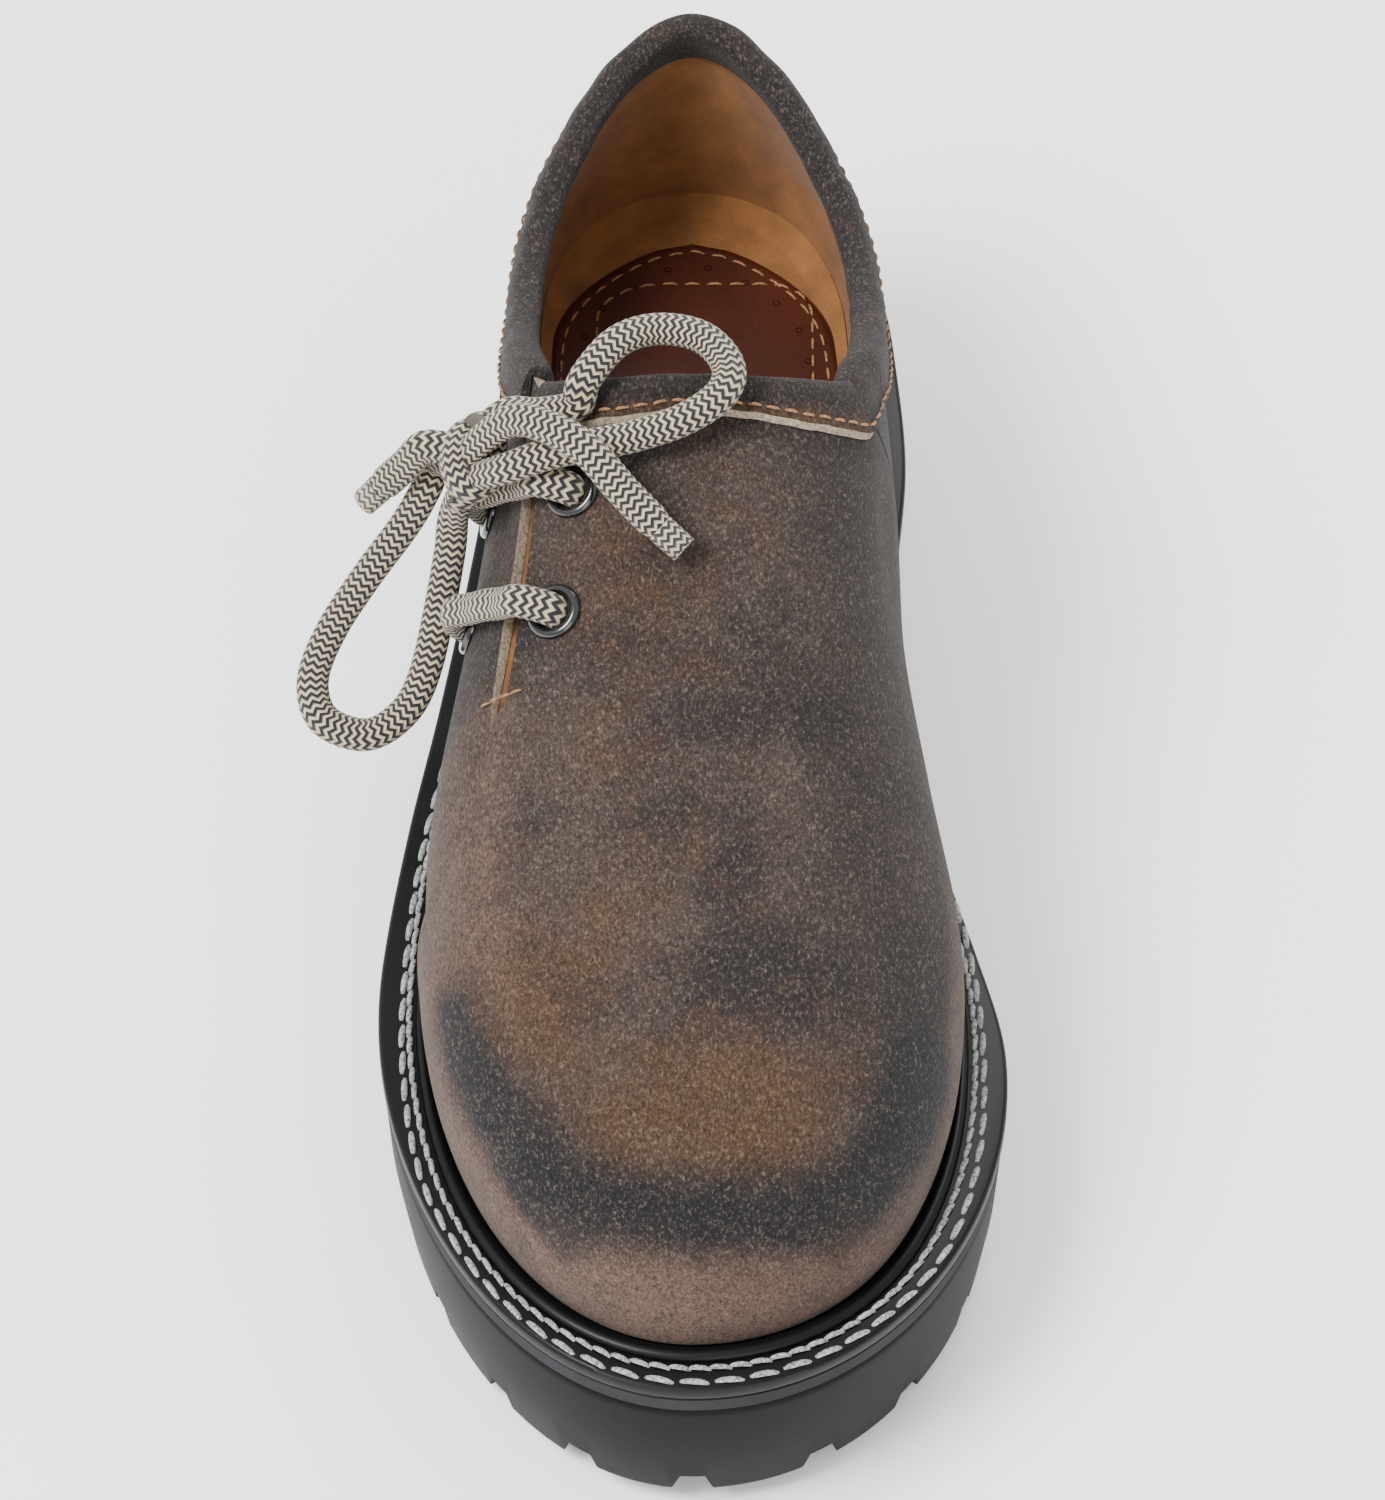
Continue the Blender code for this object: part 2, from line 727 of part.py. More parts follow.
def make_welt(material):
    """Strip around the upper, with its raised rib beside the feather line."""
    edge = sole_outline()
    feather = feather_outline()
    top = -GAP
    sections = (
        (inset(edge, EDGE_ROUND), WELT_UNDER),
        (edge, WELT_UNDER + EDGE_ROUND),
        (edge, top - EDGE_ROUND),
        (inset(edge, EDGE_ROUND), top),
        (inset(feather, -RIB_SEAT - RIB_WIDTH - EDGE_ROUND / 2), top),
        (inset(feather, -RIB_SEAT - RIB_WIDTH), top + RIB_HEIGHT * 0.7),
        (inset(feather, -RIB_SEAT - RIB_WIDTH / 2), top + RIB_HEIGHT),
        (inset(feather, -RIB_SEAT), top + RIB_HEIGHT * 0.8),
        (inset(feather, -RIB_SEAT), top),
        (inset(feather, WALL), top),
        (inset(feather, WALL), WELT_UNDER),
    )
    size = 2 * OUTLINE_STEPS
    points = []
    for outline, level in sections:
        points += [Vector((point.x, point.y, seat_height(point.y) + level)) for point in outline]
    return mesh_object("welt", points, ring_faces(len(sections), size), material)


def make_insole(material):
    """Leather sock on its board, within the welt and the upper."""
    outline = inset(feather_outline(), WALL + 2 * GAP)
    levels = [
        (outline, lambda y: seat_height(y) + WELT_UNDER),
        (outline, lambda y: seat_height(y) + INSOLE_PROUD - EDGE_ROUND / 2),
        (inset(outline, EDGE_ROUND / 2), lambda y: seat_height(y) + INSOLE_PROUD),
    ]
    return slab("insole", levels, material)


def make_upper(material):
    """Vamp and quarters over the last, as one hollow body with an open underside."""
    side_columns = 9
    front_columns = 8
    front_rows = 20
    back_rows = 13
    points = []
    faces = []

    def add_block(rows):
        start = len(points)
        width = len(rows[0])
        for row in rows:
            points.extend(upper_skin(station, turn) for station, turn in row)
        for row in range(len(rows) - 1):
            for column in range(width - 1):
                corner = start + row * width + column
                faces.append((corner, corner + 1, corner + width + 1, corner + width))

    turns = [-1.0 + (1.0 - COLLAR_CORNER) * step / side_columns for step in range(side_columns)]
    turns += [COLLAR_CORNER * (2.0 * step / front_columns - 1.0) for step in range(front_columns)]
    turns += [COLLAR_CORNER + (1.0 - COLLAR_CORNER) * step / side_columns for step in range(side_columns + 1)]
    front = []
    for row in range(front_rows + 1):
        left = (1.0 - row / front_rows) ** 1.5
        front.append([(1.0 - (1.0 - front_edge(turn)) * left, turn) for turn in turns])
    add_block(front)
    for side in (-1, 1):
        back = []
        for row in range(back_rows + 1):
            station = CORNER_STATION * (1.0 - row / back_rows) ** 1.7
            inner = side_edge(station)
            back.append([(station, side * (1.0 - (1.0 - inner) * step / side_columns))
                         for step in range(side_columns + 1)])
        add_block(back)
    upper = mesh_object("upper", points, faces, material, weld=0.00001)
    thickness = upper.modifiers.new("wall", "SOLIDIFY")
    thickness.thickness = WALL
    thickness.offset = -1.0
    thickness.use_even_offset = True
    thickness.use_quality_normals = True
    return upper


def make_slit_cutter():
    """Guide through upper and collar, as wide as the slit."""
    rows = []
    steps = 14
    for step in range(steps + 1):
        station = blend(SLIT_LINE[0].station, SLIT_END, step / steps)
        turn = curve_value(SLIT_LINE, "station", "turn", station)
        ahead = curve_value(SLIT_LINE, "station", "turn", station + 0.01)
        behind = curve_value(SLIT_LINE, "station", "turn", station - 0.01)
        run = upper_skin(station + 0.01, ahead) - upper_skin(station - 0.01, behind)
        sideways = skin_normal(station, turn).cross(run).normalized() * SLIT_WIDTH / 2
        rows.append([slide(station, turn, sideways), (station, turn), slide(station, turn, -sideways)])
    return patch_solid("slit_guide", rows, lambda s, t: -CUTTER_REACH, lambda s, t: CUTTER_REACH)


def make_recess_cutter():
    """Guide that lowers the quarter behind the vamp's raw edge, fading out towards the heel."""
    rows = []
    columns = 6
    steps = 14
    for step in range(steps + 1):
        around = blend(SEAM_LINE[0].turn, SEAM_LINE[-1].turn, step / steps)
        front = curve_value(SEAM_LINE, "turn", "station", around)
        length = RECESS_LENGTH * smooth((around - SEAM_LINE[0].turn) / 0.06 + 0.25)
        rows.append([(front - length * column / columns, -around) for column in range(columns + 1)])

    def lower(station, turn):
        front = curve_value(SEAM_LINE, "turn", "station", abs(turn))
        return -SEAM_STEP + (SEAM_STEP + GAP) * smooth((front - station) / RECESS_LENGTH)

    return patch_solid("recess_guide", rows, lower, lambda s, t: 3 * SEAM_STEP)


def make_collar(material):
    """Padded band folded over the upper's top edge, with its raw lower edge on the outside."""
    inner_face = -WALL - COLLAR_SEAT

    def section(outside):
        return (
            (outside, COLLAR_SEAT),
            (outside / 2, COLLAR_SEAT),
            (-COLLAR_SEAT, COLLAR_SEAT),
            (-COLLAR_SEAT, inner_face),
            (COLLAR_INSIDE / 2, inner_face),
            (COLLAR_INSIDE, inner_face),
            (COLLAR_INSIDE, inner_face - COLLAR_LEAF * 0.6),
            (COLLAR_INSIDE * 0.6, inner_face - COLLAR_PAD * 0.85),
            (0.0005, COLLAR_INNER_FACE),
            (-COLLAR_CROWN * 0.75, inner_face - COLLAR_PAD * 0.55),
            (-COLLAR_CROWN, -WALL / 2),
            (-COLLAR_CROWN * 0.65, COLLAR_LEAF),
            (0.0012, COLLAR_SEAT + COLLAR_LEAF * 1.35),
            (outside / 2, COLLAR_SEAT + COLLAR_LEAF * 1.15),
            (outside - GAP, COLLAR_SEAT + COLLAR_LEAF),
        )

    path = opening_path()
    places = [upper_skin(station, turn) for station, turn in path]
    points = []
    for index, (station, turn) in enumerate(path):
        run = places[(index + 1) % len(path)] - places[index - 1]
        normal = skin_normal(station, turn)
        down = normal.cross(run).normalized()
        share = blend(1.0, COLLAR_FRONT, 1.0 - abs(turn) / COLLAR_CORNER)
        for distance, offset in section(COLLAR_OUTSIDE * share):
            if distance > 0.0:
                points.append(skin_offset(*slide(station, turn, down * distance), offset))
            else:
                points.append(places[index] + down * distance + normal * offset)
    faces = ring_faces(len(path), len(section(COLLAR_OUTSIDE)))
    return mesh_object("collar", points, faces, material, soft_angle=50.0)


def make_tongue(material):
    """Thin gusset under the slit, rising behind the collar's front edge."""
    rows = []
    steps = 10
    columns = 10
    for step in range(steps + 1):
        row = []
        for column in range(columns + 1):
            turn = blend(TONGUE_OUTER, TONGUE_INNER, column / columns)
            top = TONGUE_TOP + 0.030 * smooth((-0.30 - turn) / 0.20)
            top += 0.012 * smooth((turn + 0.10) / 0.07)
            end = TONGUE_END - 0.030 * smooth((turn + 0.26) / 0.23)
            row.append((blend(top, end, step / steps), turn))
        rows.append(row)
    clear = -WALL - GAP

    def outer(station, turn):
        near_edge = 1.0 - smooth((edge_distance(station, turn) - 0.0115) / 0.008)
        return clear + (COLLAR_INNER_FACE - GAP - clear) * near_edge

    return patch_solid("tongue", rows, lambda s, t: outer(s, t) - TONGUE_THICK, outer, material)


def eyelet_matrix(eyelet):
    """Frame of an eyelet, with +Z out of the upper."""
    normal = skin_normal(eyelet.station, eyelet.turn)
    turn = normal.to_track_quat("Z", "Y").to_matrix().to_4x4()
    return Matrix.Translation(upper_skin(eyelet.station, eyelet.turn)) @ turn


def make_eyelet(eyelet, material):
    """Flanged ring seated in its hole."""
    profile = (
        (EYELET_BORE, -WALL + GAP),
        (EYELET_BARREL, -WALL + GAP),
        (EYELET_BARREL, GAP),
        (EYELET_FLANGE, GAP),
        (EYELET_FLANGE - 0.0003, GAP + EYELET_PROUD * 0.6),
        ((EYELET_FLANGE + EYELET_BORE) / 2, GAP + EYELET_PROUD),
        (EYELET_BORE + 0.0003, GAP + EYELET_PROUD * 0.6),
        (EYELET_BORE, GAP),
    )
    segments = 14
    points = []
    for segment in range(segments):
        angle = 2 * math.pi * segment / segments
        points += [Vector((radius * math.cos(angle), radius * math.sin(angle), height))
                   for radius, height in profile]
    ring = mesh_object(eyelet.name, points, ring_faces(segments, len(profile)), material)
    ring.matrix_world = eyelet_matrix(eyelet)
    return ring


def make_hole_cutter(eyelet):
    """Guide for the hole that an eyelet sits in."""
    shape = bmesh.new()
    radius = EYELET_BARREL + GAP
    bmesh.ops.create_cone(shape, cap_ends=True, segments=14, radius1=radius, radius2=radius, depth=3 * WALL)
    mesh = bpy.data.meshes.new("hole_" + eyelet.name)
    shape.to_mesh(mesh)
    shape.free()
    hole = add_object("hole_" + eyelet.name, mesh)
    hole.matrix_world = eyelet_matrix(eyelet)
    return hole


def smooth_route(route, spacing):
    """Points at about a given spacing on a smooth curve through a route's points."""
    points = []
    for index in range(len(route) - 1):
        before = route[max(index - 1, 0)]
        start = route[index]
        end = route[index + 1]
        after = route[min(index + 2, len(route) - 1)]
        steps = max(1, round((end - start).length / spacing))
        for step in range(steps):
            t = step / steps
            leave = (end - before) / 2
            arrive = (after - start) / 2
            point = start * (2 * t ** 3 - 3 * t ** 2 + 1) + leave * (t ** 3 - 2 * t ** 2 + t)
            point += end * (3 * t ** 2 - 2 * t ** 3) + arrive * (t ** 3 - t ** 2)
            points.append(point)
    points.append(route[-1])
    return points


def make_tube(name, route, material, spacing):
    """Round cord along a route, with flat ends."""
    curve = bpy.data.curves.new(name, "CURVE")
    curve.dimensions = "3D"
    curve.bevel_depth = LACE_DIAMETER / 2
    curve.bevel_resolution = 2
    curve.use_fill_caps = True
    points = smooth_route(route, spacing)
    spline = curve.splines.new("POLY")
    spline.points.add(len(points) - 1)
    for place, point in zip(spline.points, points):
        place.co = (*point, 1.0)
    return add_object(name, curve, material)


def make_bar(name, start, end, material):
    """Stretch of lace from one eyelet's bore over the slit into another's."""
    radius = LACE_DIAMETER / 2
    turn_out = GAP + EYELET_PROUD + GAP + radius
    first = eyelet_matrix(start)
    last = eyelet_matrix(end)

    def over(share, height):
        station = blend(start.station, end.station, share)
        turn = blend(start.turn, end.turn, share)
        return skin_offset(station, turn, height)

    bottom = -WALL + GAP
    route = [
        first @ Vector((0.0, 0.0, bottom)),
        first @ Vector((0.0, 0.0, turn_out * 0.45)),
        over(0.16, turn_out + 0.0008),
        over(0.34, BAR_LIFT),
        over(0.50, BAR_LIFT),
        over(0.66, BAR_LIFT),
        over(0.84, turn_out + 0.0008),
        last @ Vector((0.0, 0.0, turn_out * 0.45)),
        last @ Vector((0.0, 0.0, bottom)),
    ]
    return make_tube(name, route, material, LACE_DIAMETER * 0.5)


def make_knot(material):
    """Outer shape of the bow's knot, over the slit."""
    shape = bmesh.new()
    bmesh.ops.create_uvsphere(shape, u_segments=16, v_segments=9, radius=0.5)
    mesh = bpy.data.meshes.new("lace_knot")
    shape.to_mesh(mesh)
    shape.free()
    mesh.shade_smooth()
    normal = skin_normal(KNOT_STATION, KNOT_TURN)
    run = upper_skin(KNOT_STATION + 0.01, KNOT_TURN) - upper_skin(KNOT_STATION - 0.01, KNOT_TURN)
    across = normal.cross(run).normalized()
    along = across.cross(normal)
    turn = Matrix((along, across, normal)).transposed().to_4x4()
    size = Matrix.Diagonal((KNOT_LENGTH, KNOT_WIDTH, KNOT_HEIGHT, 1.0))
    place = Matrix.Translation(upper_skin(KNOT_STATION, KNOT_TURN) + normal * KNOT_LIFT)
    mesh.transform(turn @ size)
    knot = add_object("lace_knot", mesh, material)
    knot.matrix_world = place
    return knot


def main():
    """Build every piece of the shoe."""
    for thing in list(bpy.data.objects):
        bpy.data.objects.remove(thing, do_unlink=True)
    materials = make_materials()
    pieces = [
        make_outsole(materials["rubber_navy"]),
        make_midsole(materials["rubber_grey"]),
        make_welt(materials["welt_black"]),
        make_insole(materials["sock_leather"]),
    ]
    upper = make_upper(materials["suede"])
    collar = make_collar(materials["suede_collar"])
    slit = make_slit_cutter()
    cut(upper, make_recess_cutter())
    cut(upper, slit)
    cut(collar, slit)
    pieces += [upper, collar, make_tongue(materials["nubuck_tan"])]
    for eyelet in EYELETS:
        cut(upper, make_hole_cutter(eyelet))
        pieces.append(make_eyelet(eyelet, materials["eyelet_black"]))
    by_name = {eyelet.name: eyelet for eyelet in EYELETS}
    lace = materials["lace_braid"]
    pieces.append(make_bar("lace_bar_low", by_name["eyelet_vamp_low"], by_name["eyelet_quarter_low"], lace))
    pieces.append(make_bar("lace_bar_top", by_name["eyelet_vamp_top"], by_name["eyelet_quarter_top"], lace))
    pieces.append(make_knot(lace))
    spacing = LACE_DIAMETER * 1.2
    for name, points in (("lace_loop_front", LOOP_FRONT), ("lace_loop_side", LOOP_SIDE),
                         ("lace_end_front", END_FRONT), ("lace_end_side", END_SIDE)):
        pieces.append(make_tube(name, [Vector(point) for point in points], lace, spacing))
    root = bpy.data.objects.new("haferl_shoe_right", None)
    bpy.context.scene.collection.objects.link(root)
    for piece in pieces:
        piece.parent = root


main()
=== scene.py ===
"""Looks of a haferl shoe with a side slit, the wearer's right one.

Metres, +Z up, toe at -Y, inner side of the foot at +X. The upper is a skin over the last: a place on it has
a station, from 0 at the back of the heel to 1 at the toe, and a turn, from -1 at the outer feather line over
0 on the ridge to 1 at the inner one.
"""

import math

import bmesh
import bpy
import numpy as np
from bpy.props import FloatProperty, FloatVectorProperty, IntProperty, PointerProperty
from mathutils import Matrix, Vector


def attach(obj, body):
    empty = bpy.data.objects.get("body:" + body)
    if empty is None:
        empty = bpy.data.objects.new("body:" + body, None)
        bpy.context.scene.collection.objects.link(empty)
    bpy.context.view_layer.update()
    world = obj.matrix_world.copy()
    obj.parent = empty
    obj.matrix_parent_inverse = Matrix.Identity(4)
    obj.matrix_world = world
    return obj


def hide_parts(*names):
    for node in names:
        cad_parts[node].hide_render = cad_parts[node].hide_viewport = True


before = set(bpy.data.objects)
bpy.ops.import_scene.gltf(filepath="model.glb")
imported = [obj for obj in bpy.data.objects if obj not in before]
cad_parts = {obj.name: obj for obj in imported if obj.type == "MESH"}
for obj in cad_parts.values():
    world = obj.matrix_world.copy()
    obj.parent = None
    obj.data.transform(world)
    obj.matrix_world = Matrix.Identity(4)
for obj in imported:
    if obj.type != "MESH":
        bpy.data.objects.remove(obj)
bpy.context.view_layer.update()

bl_info = {
    "name": "Haferl shoe",
    "version": (1, 0, 0),
    "blender": (4, 5, 0),
    "location": "3D View > Sidebar > Shoe",
    "description": "Builds the leather, stitching, sole and laces of a haferl shoe round its solids",
    "category": "Object",
}

BODY = "root"
MM = 0.001

# Points of the upper closer than this are one point
JOIN_STEP = 2e-6
# Material indices of the upper, and the mark of the faces of the seam's step
SUEDE, RAW = 0, 2
STEP_FACE = 3

# Last and sole, as in the solids
OUTSOLE_LENGTH = 0.302
OUTSOLE_WIDTH = 0.120
UPPER_WIDTH = 0.104
TOE_MARGIN = 0.0103
HEEL_MARGIN = 0.0055
INSTEP_HEIGHT = 0.075
FOREFOOT_SEAT = 0.0365
HEEL_PITCH = 0.0095
TOE_SPRING = 0.0050
SPRING_START = 0.096
SOLE_TOE_ROUND = 0.100
SOLE_HEEL_ROUND = 0.042
UPPER_TOE_ROUND = 0.081
UPPER_TOE_RISE = 0.060
UPPER_HEEL_ROUND = 0.042
UPPER_TOP_ROUND = 0.072
HEEL_LEAN = 0.004
FEATHER_TUCK = 0.0015
GAP = 0.0003
WALL = 0.0024
SEAM_STEP = 0.0011
WELT_THICK = 0.0034
MIDSOLE_THICK = 0.0036
SOLE_TAPER = 0.0026
HEEL_BLOCK = 0.084
ARCH_LENGTH = 0.062
ARCH_RISE = 0.010
BREAST_ROUND = 0.006
LUG_DEPTH = 0.0052
LUG_GROOVE = 0.0062
EDGE_GROOVE = 0.017
CENTRE_LAND = 0.004
COLLAR_SEAT = 0.0005
COLLAR_OUTSIDE = 0.0095
COLLAR_FRONT = 0.65
COLLAR_INSIDE = 0.0075
COLLAR_LEAF = 0.0011
COLLAR_PAD = 0.0017
COLLAR_CROWN = 0.0022
COLLAR_CORNER = 0.375
SLIT_WIDTH = 0.0046
SLIT_END = 0.590
RECESS_LENGTH = 0.090
TONGUE_THICK = 0.0013
EYELET_BORE = 0.0034
EYELET_FLANGE = 0.0055
EYELET_PROUD = 0.0010
CORD_SOLID = 0.0050
KNOT_STATION = 0.435
KNOT_TURN = -0.440
KNOT_HEIGHT = 0.009

TOE_Y = -OUTSOLE_LENGTH / 2
HEEL_Y = OUTSOLE_LENGTH / 2
UPPER_TOE_Y = TOE_Y + TOE_MARGIN
UPPER_HEEL_Y = HEEL_Y - HEEL_MARGIN
UPPER_LENGTH = UPPER_HEEL_Y - UPPER_TOE_Y
WELT_UNDER = -GAP - WELT_THICK
MIDSOLE_UNDER = WELT_UNDER - GAP - MIDSOLE_THICK
OUTSOLE_TOP = MIDSOLE_UNDER - GAP
BAR_LIFT = CORD_SOLID / 2 + 2 * GAP
KNOT_LIFT = BAR_LIFT + CORD_SOLID / 2 + GAP + KNOT_HEIGHT / 2

# Half widths of the sole as shares of half its width, by station from heel to toe
SOLE_SECTIONS = {
    "station": (0.00, 0.08, 0.16, 0.26, 0.36, 0.46, 0.56, 0.66, 0.74, 0.85, 1.00),
    "lateral": (0.610, 0.620, 0.640, 0.680, 0.745, 0.825, 0.915, 0.980, 0.995, 0.975, 0.940),
    "medial": (0.620, 0.640, 0.685, 0.715, 0.675, 0.672, 0.775, 0.905, 1.000, 1.050, 1.075),
}

# Half widths and ridge shift of the upper as shares of half its width, ridge and bulge as shares of the
# instep height, seat as a share of the heel pitch, power as the squareness of the section
UPPER_SECTIONS = {
    "station": (0.00, 0.10, 0.20, 0.30, 0.40, 0.50, 0.60, 0.70, 0.80, 0.90, 1.00),
    "lateral": (0.660, 0.660, 0.670, 0.715, 0.765, 0.846, 0.942, 0.985, 0.972, 0.952, 0.930),
    "medial": (0.660, 0.660, 0.690, 0.735, 0.770, 0.790, 0.875, 0.965, 0.990, 1.020, 1.080),
    "ridge": (1.450, 1.400, 1.310, 1.160, 0.993, 0.873, 0.747, 0.633, 0.540, 0.475, 0.430),
    "shift": (0.00, 0.00, 0.00, 0.00, 0.02, 0.04, 0.06, 0.06, 0.06, 0.04, 0.02),
    "seat": (1.000, 0.895, 0.790, 0.684, 0.474, 0.210, 0.053, 0.000, 0.000, 0.000, 0.000),
    "bulge": (0.213, 0.200, 0.187, 0.187, 0.200, 0.207, 0.173, 0.153, 0.133, 0.113, 0.087),
    "power": (2.20, 2.20, 2.25, 2.45, 2.70, 2.50, 2.40, 2.35, 2.35, 2.35, 2.35),
}

# Edges of the opening, middle line of the slit and raw edge of the vamp, as stations and turns
FRONT_EDGE = ((0.000, 0.120, 0.220, 0.310, COLLAR_CORNER), (0.411, 0.410, 0.405, 0.397, 0.388))
SIDE_EDGE = (
    (0.000, 0.050, 0.100, 0.140, 0.180, 0.220, 0.260, 0.300, 0.335, 0.366, 0.388),
    (0.609, 0.622, 0.636, 0.643, 0.645, 0.636, 0.612, 0.570, 0.505, 0.428, COLLAR_CORNER),
)
CORNER_STATION = SIDE_EDGE[0][-1]
SLIT_LINE = ((0.330, 0.388, 0.465, 0.557, SLIT_END), (-0.350, -0.382, -0.388, -0.405, -0.415))
SEAM_LINE = ((0.360, 0.490, 0.650, 0.850, 1.050), (0.592, 0.662, 0.700, 0.722, 0.735))

EYELETS = {
    "eyelet_vamp_top": (0.470, -0.245),
    "eyelet_vamp_low": (0.547, -0.275),
    "eyelet_quarter_top": (0.424, -0.610),
    "eyelet_quarter_low": (0.500, -0.640),
}

# Tread: grooves from the edge by station and direction in degrees, and grooves across the middle
EDGE_GROOVES = ((0.070, 12), (0.150, 0), (0.225, 0), (0.560, 0), (0.635, 0), (0.710, 0), (0.785, -8),
                (0.856, -24), (0.926, -42), (0.977, -66))
CENTRE_GROOVES = (0.045, 0.110, 0.187, 0.600, 0.675, 0.750, 0.825)

# Free stretches of the lace beyond the knot
LOOP_FRONT = (
    (-0.0360, 0.0262, 0.1070), (-0.0291, 0.0240, 0.1100), (-0.0221, 0.0232, 0.1130),
    (-0.0202, 0.0262, 0.1172), (-0.0143, 0.0328, 0.1202), (-0.0068, 0.0362, 0.1202),
    (0.0017, 0.0340, 0.1204), (0.0066, 0.0272, 0.1200), (0.0056, 0.0208, 0.1192),
    (-0.0011, 0.0163, 0.1170), (-0.0105, 0.0148, 0.1138), (-0.0189, 0.0138, 0.1124),
    (-0.0269, 0.0126, 0.1112), (-0.0352, 0.0124, 0.1072),
)
LOOP_SIDE = (
    (-0.0482, 0.0262, 0.0945), (-0.0508, 0.0236, 0.0895), (-0.0549, 0.0194, 0.0838),
    (-0.0622, 0.0134, 0.0760), (-0.0692, 0.0064, 0.0680), (-0.0728, -0.0011, 0.0620),
    (-0.0706, -0.0077, 0.0580), (-0.0622, -0.0106, 0.0570), (-0.0551, -0.0074, 0.0600),
    (-0.0512, -0.0019, 0.0650), (-0.0484, 0.0071, 0.0730), (-0.0463, 0.0148, 0.0815),
    (-0.0453, 0.0185, 0.0885),
)
END_FRONT = (
    (-0.0345, 0.0188, 0.1134), (-0.0271, 0.0142, 0.1168), (-0.0197, 0.0086, 0.1166),
    (-0.0131, 0.0023, 0.1125), (-0.0067, -0.0033, 0.1090), (-0.0015, -0.0069, 0.1060),
)
END_SIDE = (
    (-0.0500, 0.0230, 0.1020), (-0.0545, 0.0236, 0.0960), (-0.0590, 0.0240, 0.0900),
    (-0.0628, 0.0242, 0.0848),
)


def linear_colour(code):
    """Linear RGBA from an sRGB hex code."""
    values = [int(code[start:start + 2], 16) / 255 for start in (1, 3, 5)]
    linear = [v / 12.92 if v <= 0.04045 else ((v + 0.055) / 1.055) ** 2.4 for v in values]
    return (*linear, 1.0)


def colour_prop(name, description, code):
    """Colour property with a hex default."""
    return FloatVectorProperty(name=name, description=description, subtype="COLOR", size=4, min=0.0, max=1.0,
                               default=linear_colour(code))


def length_prop(name, description, millimetres):
    """Length property with a default in millimetres."""
    return FloatProperty(name=name, description=description, default=millimetres * MM, min=0.0,
                         subtype="DISTANCE", unit="LENGTH", precision=5)


class ShoeSizes(bpy.types.PropertyGroup):
    """Sizes of the shoe's finishing."""

    lace_width: length_prop("Lace width", "Width of the oval lace", 6.2)
    lace_thickness: length_prop("Lace thickness", "Thickness of the oval lace", 4.5)
    braid_pitch: length_prop("Braid pitch", "Length of one dark and one light row of the braid", 1.55)
    braid_teeth: IntProperty(name="Braid teeth", description="Zigzags round the lace", default=9, min=4)
    welt_stitch: length_prop("Welt stitch", "Pitch of the outer row of welt stitches", 6.4)
    chain_stitch: length_prop("Chain stitch", "Pitch of the inner row of welt stitches", 3.7)
    collar_stitch: length_prop("Collar stitch", "Pitch of the stitches along the collar's edge", 3.6)
    sock_stitch: length_prop("Sock stitch", "Pitch of the stitches on the sock", 4.6)


class ShoeColours(bpy.types.PropertyGroup):
    """Colours of the shoe's materials."""

    suede: colour_prop("Suede", "Ground colour of the vamp and quarters", "#3a302a")
    suede_warm: colour_prop("Warm suede", "Rubbed patches where the tan of the hide shows", "#422e1e")
    suede_dark: colour_prop("Burnish", "Waxed and burnished edge of the toe", "#141418")
    # Painted light: this paler colour stands in for the key light falling on the toe's wall and the outer
    # flank.
    suede_painted_light: colour_prop("Pale suede", "Brushed-up suede of the toe's wall", "#58453a")
    # The grey is the collar's own suede colour; on the upper it is painted shade, laid on the inner side away
    # from the key light and on the outer quarter beside the slit.
    grey_suede_and_painted_shade: colour_prop("Grey suede", "Suede of the inner side and the collar", "#211b1b")
    raw_edge: colour_prop("Raw edge", "Cut edge of the hide", "#a39581")
    lining: colour_prop("Lining", "Nubuck calf lining", "#875a31")
    gusset: colour_prop("Gusset", "Tan hide under the slit", "#774e2c")
    sock: colour_prop("Sock", "Smooth leather sock", "#431804")
    thread_tan: colour_prop("Tan thread", "Thread of the sock and the collar", "#996d44")
    thread_pale: colour_prop("Pale thread", "Waxed thread of the welt", "#a2a3a0")
    welt: colour_prop("Welt", "Waxed welt leather", "#060708")
    midsole: colour_prop("Midsole", "Edge layer between welt and outsole", "#272729")
    outsole: colour_prop("Outsole", "Moulded rubber", "#07080a")
    eyelet: colour_prop("Eyelet", "Black enamel", "#0b0b0d")
    lace_dark: colour_prop("Dark yarn", "Dark yarn of the braid", "#080707")
    lace_light: colour_prop("Light yarn", "Light yarn of the braid", "#b7a78b")
    floor: colour_prop("Floor", "Pale floor", "#ffffff")


# ---- numbers and lines ----


def hermite(start, end, leaving, arriving, t):
    """Values between two, with the slopes at both ends."""
    return (start * (2 * t ** 3 - 3 * t ** 2 + 1) + leaving * (t ** 3 - 2 * t ** 2 + t)
            + end * (3 * t ** 2 - 2 * t ** 3) + arriving * (t ** 3 - t ** 2))


def smooth_curve(table, at):
    """Values of a table of places and values, on a smooth curve through them."""
    places, values = (np.asarray(row, float) for row in table)
    at = np.clip(np.asarray(at, float), places[0], places[-1])
    left = np.clip(np.searchsorted(places, at, side="right") - 1, 0, len(places) - 2)
    slopes = np.empty_like(values)
    slopes[1:-1] = (values[2:] - values[:-2]) / (places[2:] - places[:-2])
    slopes[0] = (values[1] - values[0]) / (places[1] - places[0])
    slopes[-1] = (values[-1] - values[-2]) / (places[-1] - places[-2])
    width = places[left + 1] - places[left]
    t = (at - places[left]) / width
    return hermite(values[left], values[left + 1], slopes[left] * width, slopes[left + 1] * width, t)


def rounded_end(distance, length, power, root=2.0):
    """Share of full size at a distance from an end that is rounded over a length."""
    share = np.clip(distance / length, 0.0, 1.0)
    return (1.0 - (1.0 - share) ** power) ** (1.0 / root)


